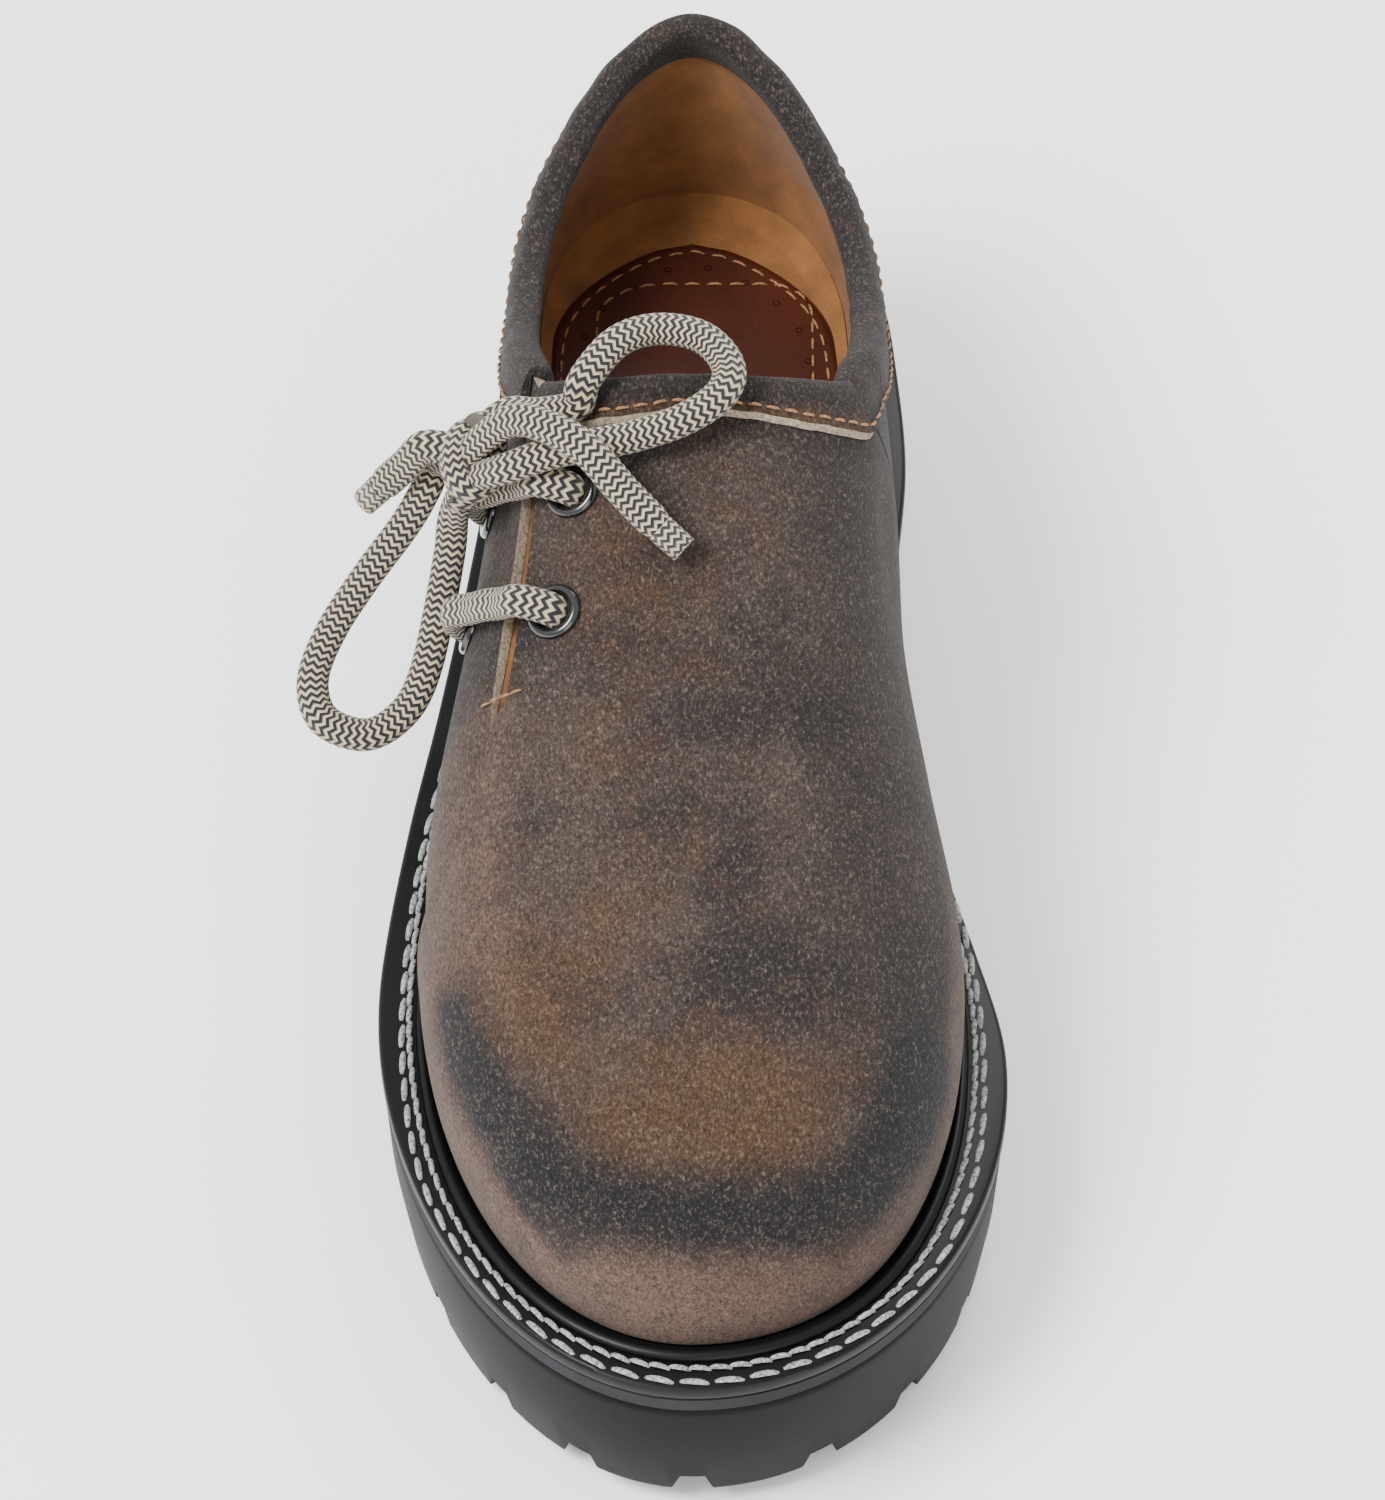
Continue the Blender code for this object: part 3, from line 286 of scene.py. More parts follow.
def blend(low, high, share):
    """Value between two, with the share kept from 0 to 1."""
    return low + (high - low) * np.clip(share, 0.0, 1.0)


def smooth(share):
    """Soft step from 0 to 1."""
    share = np.clip(share, 0.0, 1.0)
    return share * share * (3.0 - 2.0 * share)


def unit(vectors):
    """Vectors at length 1."""
    return vectors / np.maximum(np.linalg.norm(vectors, axis=-1, keepdims=True), 1e-12)


def toe_spring(y):
    """Height that the sole has left the ground by."""
    return TOE_SPRING * np.maximum(0.0, (SPRING_START - (y - TOE_Y)) / SPRING_START) ** 2


def section(column, station):
    """Value of the upper's table at a station."""
    return smooth_curve((UPPER_SECTIONS["station"], UPPER_SECTIONS[column]), station)


def seat_height(y):
    """Height of the feather line."""
    return FOREFOOT_SEAT + HEEL_PITCH * section("seat", (UPPER_HEEL_Y - y) / UPPER_LENGTH) + toe_spring(y)


def skin(station, turn):
    """Points on the upper's outer face."""
    station, turn = np.broadcast_arrays(np.asarray(station, float), np.asarray(turn, float))
    side = np.where(turn < 0.0, -1.0, 1.0)
    around = np.abs(turn)
    from_toe = (1.0 - station) * UPPER_LENGTH
    narrow = rounded_end(from_toe, UPPER_TOE_ROUND, 2.2)
    low = rounded_end(from_toe, UPPER_TOE_RISE, 2.4, 2.2)
    half_share = np.where(side < 0, section("lateral", station), section("medial", station))
    width = half_share * UPPER_WIDTH / 2 * narrow
    ridge_x = section("shift", station) * UPPER_WIDTH / 2 * narrow
    ridge = section("ridge", station) * INSTEP_HEIGHT * low
    bulge = section("bulge", station) * INSTEP_HEIGHT * low
    angle = (1.0 - np.minimum(around / 0.8, 1.0)) * math.pi / 2
    squareness = 2.0 / section("power", station)
    x = ridge_x + (side * width - ridge_x) * np.maximum(0.0, np.cos(angle)) ** squareness
    height = bulge + (ridge - bulge) * np.sin(angle) ** squareness
    share = (around - 0.8) / 0.2
    x = np.where(around > 0.8, side * (width - FEATHER_TUCK * share * share * narrow), x)
    height = np.where(around > 0.8, bulge * (1.0 - share), height)
    top_share = height / INSTEP_HEIGHT / 0.5 - 0.42
    heel_round = blend(UPPER_HEEL_ROUND, UPPER_TOP_ROUND, top_share)
    x = x * rounded_end(station * UPPER_LENGTH, heel_round, blend(2.2, 1.38, top_share))
    y = UPPER_HEEL_Y - station * UPPER_LENGTH
    seat = seat_height(y)
    y = y - HEEL_LEAN * np.maximum(0.0, top_share) ** 2 * np.maximum(0.0, 1.0 - station / 0.3) ** 1.5
    return np.stack([x, y, seat + height], axis=-1)


def skin_slopes(station, turn):
    """Smooth coordinates of places on the skin, their slopes, and whether the first one is a root."""
    station, turn = np.broadcast_arrays(np.asarray(station, float), np.asarray(turn, float))
    rooted = (np.abs(turn) > 0.3) & (station < 0.6)
    first = np.where(rooted, np.copysign(np.sqrt(np.maximum(station, 0.0)), turn), station)
    second = np.where(rooted, np.abs(turn), turn)

    def point(a, b):
        return skin(np.where(rooted, a * a, a), np.where(rooted, np.copysign(b, a), b))

    step = 0.004
    along = (point(first + step, second) - point(first - step, second)) / (2 * step)
    across = (point(first, second + step) - point(first, second - step)) / (2 * step)
    return first, second, along, across, rooted


def skin_normal(station, turn):
    """Unit vectors out of the upper."""
    station = np.clip(station, 0.0, 0.9955)
    _first, _second, along, across, _rooted = skin_slopes(station, turn)
    normal = unit(np.cross(along, across))
    inside_y = blend(UPPER_TOE_Y, UPPER_HEEL_Y - UPPER_HEEL_ROUND, 1.0 - station)
    away = skin(station, turn) - np.stack([inside_y * 0, inside_y, inside_y * 0 + FOREFOOT_SEAT], axis=-1)
    return normal * np.where((normal * away).sum(-1, keepdims=True) < 0, -1.0, 1.0)


def skin_offset(station, turn, offset):
    """Points at a distance out of the upper's outer face."""
    offset = np.asarray(offset, float)
    return skin(station, turn) + skin_normal(station, turn) * offset[..., None]


def slide(station, turn, move):
    """Stations and turns of the places reached by moving along the skin."""
    for _ in range(2):
        first, second, along, across, rooted = skin_slopes(station, turn)
        aa, ab, bb = (along * along).sum(-1), (along * across).sum(-1), (across * across).sum(-1)
        am, bm = (along * move).sum(-1) / 2, (across * move).sum(-1) / 2
        scale = aa * bb - ab * ab
        first = first + (am * bb - bm * ab) / scale
        second = second + (bm * aa - am * ab) / scale
        station = np.where(rooted, first * first, first)
        turn = np.where(rooted, np.copysign(second, first), second)
    return station, turn


def front_edge(turn):
    """Station of the opening's front edge."""
    return smooth_curve(FRONT_EDGE, np.abs(turn))


def edge_distance(station, turn):
    """Rough distance from the opening's edge, down the skin."""
    around = np.abs(turn)
    girth = 1.45 * INSTEP_HEIGHT
    ahead = (station - front_edge(turn)) * UPPER_LENGTH
    beside = (around - smooth_curve(SIDE_EDGE, station)) * girth
    corner = np.hypot((around - COLLAR_CORNER) * girth, (station - CORNER_STATION) * UPPER_LENGTH)
    return np.where(around <= COLLAR_CORNER, ahead, np.where(station <= CORNER_STATION, beside, corner))


def arc_lengths(points):
    """Distance along a line of points."""
    return np.concatenate([[0.0], np.cumsum(np.linalg.norm(np.diff(points, axis=0), axis=1))])


def resample(points, count, closed=False):
    """The line again, with points evenly apart."""
    line = np.vstack([points, points[:1]]) if closed else np.asarray(points, float)
    along = arc_lengths(line)
    at = np.linspace(0.0, along[-1], count + 1 if closed else count)
    even = np.stack([np.interp(at, along, line[:, axis]) for axis in range(line.shape[1])], axis=1)
    return even[:-1] if closed else even


def smooth_route(route, spacing):
    """Points evenly apart on a smooth curve through a route's points."""
    route = np.asarray(route, float)
    points = []
    for index in range(len(route) - 1):
        before, start = route[max(index - 1, 0)], route[index]
        end, after = route[index + 1], route[min(index + 2, len(route) - 1)]
        t = np.linspace(0.0, 1.0, 24, endpoint=False)[:, None]
        points.append(hermite(start, end, (end - before) / 2, (after - start) / 2, t))
    line = np.vstack(points + [route[-1:]])
    for _ in range(12):
        line[1:-1] = (line[:-2] + 2 * line[1:-1] + line[2:]) / 4
    return resample(line, max(8, round(arc_lengths(line)[-1] / spacing)))


# ---- meshes ----


def face_outwards(mesh, weld=0.0):
    """Turns a closed mesh's faces outwards, after joining points closer than a distance."""
    shape = bmesh.new()
    shape.from_mesh(mesh)
    if weld:
        bmesh.ops.remove_doubles(shape, verts=shape.verts, dist=weld)
        bmesh.ops.dissolve_degenerate(shape, edges=shape.edges, dist=weld)
    bmesh.ops.recalc_face_normals(shape, faces=shape.faces)
    shape.to_mesh(mesh)
    shape.free()


def add_guide(name, points, faces):
    """Cutting body with its faces outwards."""
    mesh = bpy.data.meshes.new(name)
    mesh.from_pydata([tuple(point) for point in points], [], faces)
    face_outwards(mesh)
    guide = bpy.data.objects.new(name, mesh)
    bpy.context.scene.collection.objects.link(guide)
    return guide


def cut_away(piece, guides, soft_angle):
    """Cuts guides out of a piece and removes them."""
    for number, guide in enumerate(guides):
        cut = piece.modifiers.new(f"cut_{number}", "BOOLEAN")
        cut.operation, cut.solver, cut.object = "DIFFERENCE", "EXACT", guide
    evaluated = piece.evaluated_get(bpy.context.evaluated_depsgraph_get())
    cut_mesh = bpy.data.meshes.new_from_object(evaluated)
    piece.modifiers.clear()
    piece.data = cut_mesh
    piece.data.shade_smooth()
    piece.data.set_sharp_from_angle(angle=math.radians(soft_angle))
    for guide in guides:
        bpy.data.objects.remove(guide)


def add_piece(name, points, faces, materials, kinds=None, replaces=(), soft_angle=None, weld=0.0):
    """Mesh piece in the scene, riding on the shoe, with a material index for each face."""
    mesh = bpy.data.meshes.new(name)
    mesh.from_pydata([tuple(point) for point in points], [], [tuple(face) for face in faces])
    for material in materials:
        mesh.materials.append(material)
    if kinds is not None:
        mesh.polygons.foreach_set("material_index", np.asarray(kinds, np.int32))
    if weld:
        face_outwards(mesh, weld)
    mesh.shade_smooth()
    if soft_angle:
        mesh.set_sharp_from_angle(angle=math.radians(soft_angle))
    piece = bpy.data.objects.new(name, mesh)
    bpy.context.scene.collection.objects.link(piece)
    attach(piece, BODY)
    if replaces:
        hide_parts(*replaces)
    return piece


def ring_faces(rings, size, closed=True):
    """Faces between rings of points that follow each other."""
    ring, index = np.meshgrid(np.arange(rings if closed else rings - 1), np.arange(size), indexing="ij")
    following, beside = (ring + 1) % rings, (index + 1) % size
    corners = [ring * size + index, ring * size + beside, following * size + beside, following * size + index]
    return np.stack([corner.ravel() for corner in corners], axis=1)


def grid_faces(rows, columns):
    """Faces of a grid of points."""
    row, column = np.meshgrid(np.arange(rows - 1), np.arange(columns - 1), indexing="ij")
    corner = (row * columns + column).ravel()
    return np.stack([corner, corner + 1, corner + columns + 1, corner + columns], axis=1)


def shell(outer, inner, faces, kinds=None):
    """Points and faces of a closed shell between two layers, and each face's kind: out, in, rim."""
    count = len(outer)
    faces = [tuple(face) for face in faces]
    edges = dict.fromkeys((a, b) for face in faces for a, b in zip(face, face[1:] + face[:1]))
    walls = [(b, a, a + count, b + count) for a, b in edges if (b, a) not in edges]
    back = [tuple(corner + count for corner in reversed(face)) for face in faces]
    kinds = [*kinds] if kinds is not None else [0] * len(faces)
    kinds += [1] * len(back) + [2] * len(walls)
    return np.vstack([outer, inner]), faces + back + walls, kinds


def set_tone(piece, name, values):
    """Colour attribute of a mesh, one value for each point."""
    attribute = piece.data.attributes.new(name, "FLOAT_COLOR", "POINT")
    attribute.data.foreach_set("color", np.asarray(values, np.float32).ravel())


def line_frames(points, up):
    """Side and up vectors along a line, with up kept near the given vectors."""
    run = np.gradient(points, axis=0)
    tangent = unit(run)
    side = unit(np.cross(tangent, up))
    return side, np.cross(side, tangent)


def steady_up(points, up):
    """Up vectors carried along a line from a first one, without twist."""
    tangent = unit(np.gradient(points, axis=0))
    current = np.asarray(up, float)
    carried = []
    for direction in tangent:
        current = current - direction * current.dot(direction)
        current = current / max(np.linalg.norm(current), 1e-9)
        carried.append(current.copy())
    return np.array(carried)


def stitch_mesh(line, normals, pitch, length, radius, slant=0.0, lift=0.6, start=0.0):
    """Points and faces of a row of stitches along a line, each one dipping into the leather at its ends."""
    along = arc_lengths(line)
    count = int((along[-1] - start) / pitch)
    sides, rings = 8, 7
    points, faces = [], []
    for number in range(count):
        begin = start + number * pitch + (pitch - length) / 2
        t = np.linspace(0.0, 1.0, rings)
        at = begin + t * length
        middle = np.stack([np.interp(at, along, line[:, axis]) for axis in range(3)], axis=1)
        up = unit(np.stack([np.interp(at, along, normals[:, axis]) for axis in range(3)], axis=1))
        side, up = line_frames(middle, up)
        middle = middle + side * (slant * (t - 0.5))[:, None]
        arch = np.sin(math.pi * t) ** 0.6
        middle = middle + up * (radius * (lift * 2 * arch - lift))[:, None]
        size = radius * (0.55 + 0.45 * arch)
        angle = np.linspace(0.0, 2 * math.pi, sides, endpoint=False)
        ring = side[:, None, :] * np.cos(angle)[None, :, None]
        ring = ring + up[:, None, :] * np.sin(angle)[None, :, None] * 0.8
        block = (middle[:, None, :] + ring * size[:, None, None]).reshape(-1, 3)
        base = len(points) * rings * sides
        points.append(block)
        faces += (ring_faces(rings, sides, closed=False) + base).tolist()
        faces.append(list(range(base + sides - 1, base - 1, -1)))
        faces.append(list(range(base + (rings - 1) * sides, base + rings * sides)))
    return np.vstack(points), faces


def add_stitches(name, rows, material):
    """One piece with all the stitches of some rows."""
    points, faces, count = [], [], 0
    for row_points, row_faces in rows:
        points.append(row_points)
        faces += [[corner + count for corner in face] for face in row_faces]
        count += len(row_points)
    return add_piece(name, np.vstack(points), faces, [material], soft_angle=50)


# ---- outlines of the sole ----


def sole_half(y, side):
    """Half width of the outsole's outline."""
    column = "lateral" if side < 0 else "medial"
    share = smooth_curve((SOLE_SECTIONS["station"], SOLE_SECTIONS[column]), (HEEL_Y - y) / OUTSOLE_LENGTH)
    toe = rounded_end(y - TOE_Y, SOLE_TOE_ROUND, 2.2)
    return share * OUTSOLE_WIDTH / 2 * toe * rounded_end(HEEL_Y - y, SOLE_HEEL_ROUND, 2.2)


def closed_outline(point_at, count):
    """Plan points from the toe along the outer side to the heel and back, evenly apart on each side."""
    share = 0.5 - 0.5 * np.cos(np.linspace(0.0, math.pi, 400))
    outer = resample(point_at(share, -1), count // 2 + 1)[:-1]
    inner = resample(point_at(share[::-1], 1), count // 2 + 1)[:-1]
    return np.vstack([outer, inner])


def sole_outline(count):
    """Outline of the outsole's widest edge."""

    def point_at(share, side):
        y = TOE_Y + share * OUTSOLE_LENGTH
        return np.stack([side * sole_half(y, side), y], axis=1)

    return closed_outline(point_at, count)


def feather_outline(count):
    """Outline of the upper's bottom edge."""
    return closed_outline(lambda share, side: skin(1.0 - share, float(side))[:, :2], count)


def inset(outline, distance):
    """Outline moved inwards, square to itself."""
    run = np.roll(outline, -1, axis=0) - np.roll(outline, 1, axis=0)
    inwards = unit(np.stack([run[:, 1], -run[:, 0]], axis=1))
    return outline + inwards * np.broadcast_to(distance, len(outline))[:, None]


def on_level(outline, level):
    """Points of an outline at a height given as a function of y, or as a distance from the feather line."""
    y = outline[:, 1]
    height = level(y) if callable(level) else seat_height(y) + level
    return np.column_stack([outline, np.broadcast_to(height, len(outline))])


def slab_mesh(levels):
    """Points and faces of a closed solid from outlines on levels, bottom to top."""
    size = len(levels[0][0])
    rings = [on_level(outline, level) for outline, level in levels]
    half = size // 2
    points = list(np.vstack(rings))
    faces = ring_faces(len(levels), size, closed=False).tolist()
    columns = 10
    for number, (outline, level) in ((0, levels[0]), (len(levels) - 1, levels[-1])):
        previous = None
        for step in range(1, half):
            left, right = number * size + step, number * size + size - step
            share = np.arange(1, columns)[:, None] / columns
            inner = outline[step] * (1 - share) + outline[size - step] * share
            row = [left] + list(range(len(points), len(points) + columns - 1)) + [right]
            points += list(on_level(inner, level))
            if previous:
                faces += [(previous[c], previous[c + 1], row[c + 1], row[c]) for c in range(columns)]
            else:
                faces += [(number * size, row[c + 1], row[c]) for c in range(columns)]
            previous = row
        heel = number * size + half
        faces += [(heel, previous[c], previous[c + 1]) for c in range(columns)]
    return np.array(points), faces


# ---- materials ----


def add_node(tree, kind, inputs=None, stops=None, **settings):
    """Node with its settings, its colour stops, and its inputs set or linked."""
    node = tree.nodes.new(kind)
    for name, value in settings.items():
        setattr(node, name, value)
    for name, value in (inputs or {}).items():
        if isinstance(value, bpy.types.NodeSocket):
            tree.links.new(value, node.inputs[name])
        else:
            node.inputs[name].default_value = value
    if stops:
        elements = node.color_ramp.elements
        while len(elements) < len(stops):
            elements.new(0.5)
        for element, (place, value) in zip(elements, stops):
            element.position = place
            element.color = value if hasattr(value, "__len__") else (value, value, value, 1.0)
    return node


def start_material(name, roughness, **shader_values):
    """Material with its tree, its shader and its object coordinates."""
    material = bpy.data.materials.new(name)
    material.use_nodes = True
    tree = material.node_tree
    shader = tree.nodes["Principled BSDF"]
    shader.inputs["Roughness"].default_value = roughness
    for key, value in shader_values.items():
        shader.inputs[key.replace("_", " ")].default_value = value
    place = add_node(tree, "ShaderNodeTexCoord").outputs["Object"]
    return material, tree, shader, place


def noise(tree, place, size, detail=2.0, roughness=0.5, distortion=0.0):
    """Noise whose lumps are about a given size in millimetres."""
    inputs = {"Vector": place, "Scale": 1.0 / (size * MM), "Detail": detail, "Roughness": roughness,
              "Distortion": distortion}
    return add_node(tree, "ShaderNodeTexNoise", inputs).outputs["Fac"]


def mix(tree, share, first, second, mode="MIX"):
    """Colour mixed from two."""
    node = add_node(tree, "ShaderNodeMix", data_type="RGBA", blend_type=mode)
    for index, value in ((0, share), (6, first), (7, second)):
        if isinstance(value, bpy.types.NodeSocket):
            tree.links.new(value, node.inputs[index])
        else:
            node.inputs[index].default_value = value
    return node.outputs[2]


def ramp(tree, value, low, high, bottom=0.0, top=1.0):
    """Value stretched between two limits."""
    inputs = {"Value": value, "From Min": low, "From Max": high, "To Min": bottom, "To Max": top}
    return add_node(tree, "ShaderNodeMapRange", inputs).outputs["Result"]


def maths(tree, operation, *values):
    """Result of a maths node."""
    return add_node(tree, "ShaderNodeMath", dict(enumerate(values)), operation=operation).outputs["Value"]


def finish_material(tree, shader, colour, height, depth, strength=1.0):
    """Links a colour and a bump whose full height is given in millimetres."""
    if isinstance(colour, bpy.types.NodeSocket):
        tree.links.new(colour, shader.inputs["Base Color"])
    else:
        shader.inputs["Base Color"].default_value = colour
    inputs = {"Height": height, "Distance": depth * MM, "Strength": strength}
    bump = add_node(tree, "ShaderNodeBump", inputs)
    tree.links.new(bump.outputs["Normal"], shader.inputs["Normal"])


def dim(colour, share):
    """Colour made darker or lighter."""
    return (*[min(1.0, value * share) for value in colour[:3]], 1.0)


def make_suede(colours, name, ground, toned=True):
    """Split cowhide, brushed to a nap.

    The nap shows as fine pale and dark specks of fibres, which are drawn about 0.6 mm long, coarser than real
    ones, so that they show. It has no shine, and a faint sheen at grazing angles.
    """
    material, tree, shader, place = start_material(name, 0.95, Sheen_Weight=0.05, Sheen_Roughness=0.6,
                                                   Specular_IOR_Level=0.2)
    cloud = noise(tree, place, 26.0, 4.0, 0.55)
    mottle = noise(tree, place, 7.0, 4.0, 0.6)
    colour = mix(tree, ramp(tree, cloud, 0.42, 0.62), ground, colours.grey_suede_and_painted_shade)
    warm_share = ramp(tree, mottle, 0.46, 0.70, 0.0, 0.55)
    if toned:
        tone = add_node(tree, "ShaderNodeAttribute", attribute_name="tone")
        parts = add_node(tree, "ShaderNodeSeparateColor", {"Color": tone.outputs["Color"]})
        ragged = ramp(tree, mottle, 0.3, 0.7, -0.22, 0.22)
        # Painted shade: the alpha share of the tone mixes the upper's suede towards the grey colour where
        # shade falls; on the collar, whose ground is already grey, it keeps the grey.
        grey_and_painted_shade_share = maths(tree, "ADD", tone.outputs["Alpha"], ragged)
        colour = mix(tree, ramp(tree, grey_and_painted_shade_share, 0.0, 1.1), colour, colours.grey_suede_and_painted_shade)
        warm_share = maths(tree, "ADD", warm_share, ramp(tree, parts.outputs["Green"], 0.0, 1.0, -0.25, 0.75))
    colour = mix(tree, ramp(tree, warm_share, 0.0, 1.0), colour, colours.suede_warm)
    if toned:
        # Painted light: the blue share of the tone mixes in the paler colour where the key light falls.
        pale = maths(tree, "MULTIPLY", parts.outputs["Blue"], ramp(tree, mottle, 0.3, 0.65, 0.45, 1.0))
        colour = mix(tree, pale, colour, colours.suede_painted_light)
        burnt = ramp(tree, maths(tree, "ADD", parts.outputs["Red"], ragged), 0.12, 0.85, 0.0, 0.92)
        colour = mix(tree, burnt, colour, colours.suede_dark)
    stretched = add_node(tree, "ShaderNodeMapping", {"Vector": place, "Rotation": (0.3, 0.2, 0.7),
                                                     "Scale": (1.0, 0.55, 1.0)}).outputs["Vector"]
    specks = noise(tree, stretched, 0.55, 2.0, 0.75, 0.4)
    fibres = noise(tree, place, 0.95, 3.0, 0.7, 1.2)
    grain = maths(tree, "ADD", maths(tree, "MULTIPLY", specks, 0.6), maths(tree, "MULTIPLY", fibres, 0.4))
    dark = ramp(tree, grain, 0.36, 0.52, 0.30, 1.0)
    colour = mix(tree, 1.0, colour, add_node(tree, "ShaderNodeCombineColor", {0: dark, 1: dark, 2: dark})
                 .outputs["Color"], "MULTIPLY")
    light = ramp(tree, grain, 0.53, 0.68, 0.0, 0.45)
    pale_fibre = mix(tree, 0.55, colours.raw_edge, ground)
    colour = mix(tree, light, colour, pale_fibre)
    finish_material(tree, shader, colour, grain, 0.5, 0.9)
    return material


def make_raw_edge(colours):
    """Cut edge of the hide: pale matted fibres without any finish."""
    material, tree, shader, place = start_material("hide_cut_edge", 0.95, Specular_IOR_Level=0.2)
    lumps = noise(tree, place, 0.8, 3.0, 0.7)
    colour = mix(tree, ramp(tree, lumps, 0.35, 0.65), dim(colours.raw_edge, 0.42), colours.raw_edge)
    finish_material(tree, shader, colour, lumps, 0.4)
    return material


def make_nubuck(name, ground, dark, size=9.0):
    """Calf leather buffed to a short velvet: even, dull, with soft darker clouds and pores."""
    material, tree, shader, place = start_material(name, 0.85, Sheen_Weight=0.1, Specular_IOR_Level=0.25)
    cloud = noise(tree, place, size, 4.0, 0.6)
    colour = mix(tree, ramp(tree, cloud, 0.35, 0.7), ground, dark)
    fine = noise(tree, place, 0.7, 3.0, 0.7)
    colour = mix(tree, ramp(tree, fine, 0.45, 0.75, 0.0, 0.5), colour, dark)
    finish_material(tree, shader, colour, fine, 0.25, 0.7)
    return material


def make_sock_leather(colours):
    """Smooth aniline cowhide, ironed: a soft shine over a fine grain of 1 mm pebbles."""
    material, tree, shader, place = start_material("smooth_cowhide", 0.5, Specular_IOR_Level=0.4)
    pebbles = add_node(tree, "ShaderNodeTexVoronoi", {"Vector": place, "Scale": 1.0 / (1.1 * MM)})
    cloud = noise(tree, place, 22.0, 4.0, 0.55)
    colour = mix(tree, ramp(tree, cloud, 0.35, 0.65), colours.sock, dim(colours.sock, 0.62))
    finish_material(tree, shader, colour, pebbles.outputs["Distance"], 0.06, 0.6)
    return material


def make_waxed(name, ground, roughness, coat, size=0.5, depth=0.05):
    """Waxed or moulded black: an even dark ground with faint lighter rubs and fine pores."""
    material, tree, shader, place = start_material(name, roughness, Coat_Weight=coat, Coat_Roughness=0.25,
                                                   Specular_IOR_Level=0.12)
    cloud = noise(tree, place, 14.0, 5.0, 0.65)
    colour = mix(tree, ramp(tree, cloud, 0.4, 0.75, 0.0, 0.55), ground, dim(ground, 1.9))
    fine = noise(tree, place, size, 4.0, 0.7)
    finish_material(tree, shader, colour, fine, depth, 0.8)
    return material


def make_thread(name, ground, shade):
    """Waxed twisted thread: slanting plies, each about 0.5 mm wide."""
    material, tree, shader, place = start_material(name, 0.6)
    twist = noise(tree, place, 0.55, 2.0, 0.6, 0.8)
    colour = mix(tree, ramp(tree, twist, 0.38, 0.58), shade, ground)
    finish_material(tree, shader, colour, twist, 0.3)
    return material


def make_enamel(colours):
    """Steel eyelet with black enamel: almost a mirror, hard pale glints."""
    material, tree, shader, place = start_material("black_enamel", 0.18, Coat_Weight=0.6, Coat_Roughness=0.08)
    finish_material(tree, shader, colours.eyelet, noise(tree, place, 2.5), 0.02, 0.3)
    return material


def make_braid(colours, sizes, name="braided_yarn", shine=0.0):
    """Tubular braid of dark and light polyester yarn: zigzag rows across the lace.

    The rows come from the piece's own map, whose first axis runs round the lace and whose second axis is the
    length in metres. Fine fibres give it a soft look.
    """
    material, tree, shader, place = start_material(name, 0.8, Sheen_Weight=0.15, Coat_Weight=shine,
                                                   Coat_Roughness=0.15)
    chart = add_node(tree, "ShaderNodeUVMap", uv_map="braid").outputs["UV"]
    parts = add_node(tree, "ShaderNodeSeparateXYZ", {"Vector": chart})
    turns = maths(tree, "MULTIPLY", parts.outputs["X"], float(sizes.braid_teeth))
    teeth = maths(tree, "PINGPONG", turns, 0.5)
    rows = maths(tree, "DIVIDE", parts.outputs["Y"], sizes.braid_pitch)
    phase = maths(tree, "ADD", rows, maths(tree, "MULTIPLY", teeth, 1.1))
    wave = maths(tree, "PINGPONG", maths(tree, "ADD", phase, 0.25), 0.5)
    fibre = noise(tree, place, 0.45, 3.0, 0.7)
    level = maths(tree, "ADD", wave, maths(tree, "MULTIPLY", maths(tree, "SUBTRACT", fibre, 0.5), 0.12))
    colour = mix(tree, ramp(tree, level, 0.225, 0.275), colours.lace_dark, colours.lace_light)
    # Painted shade: the colour is darkened in the folds between the braid's rows; the same folds also raise
    # the bump.
    folds = maths(tree, "PINGPONG", maths(tree, "MULTIPLY", phase, 2.0), 0.5)
    shade = ramp(tree, folds, 0.0, 0.28, 0.42, 1.0)
    colour = mix(tree, 1.0, colour, add_node(tree, "ShaderNodeCombineColor", {0: shade, 1: shade, 2: shade})
                 .outputs["Color"], "MULTIPLY")
    relief = maths(tree, "ADD", folds, maths(tree, "MULTIPLY", fibre, 0.4))
    finish_material(tree, shader, colour, relief, 0.35)
    return material


MATERIALS = {}


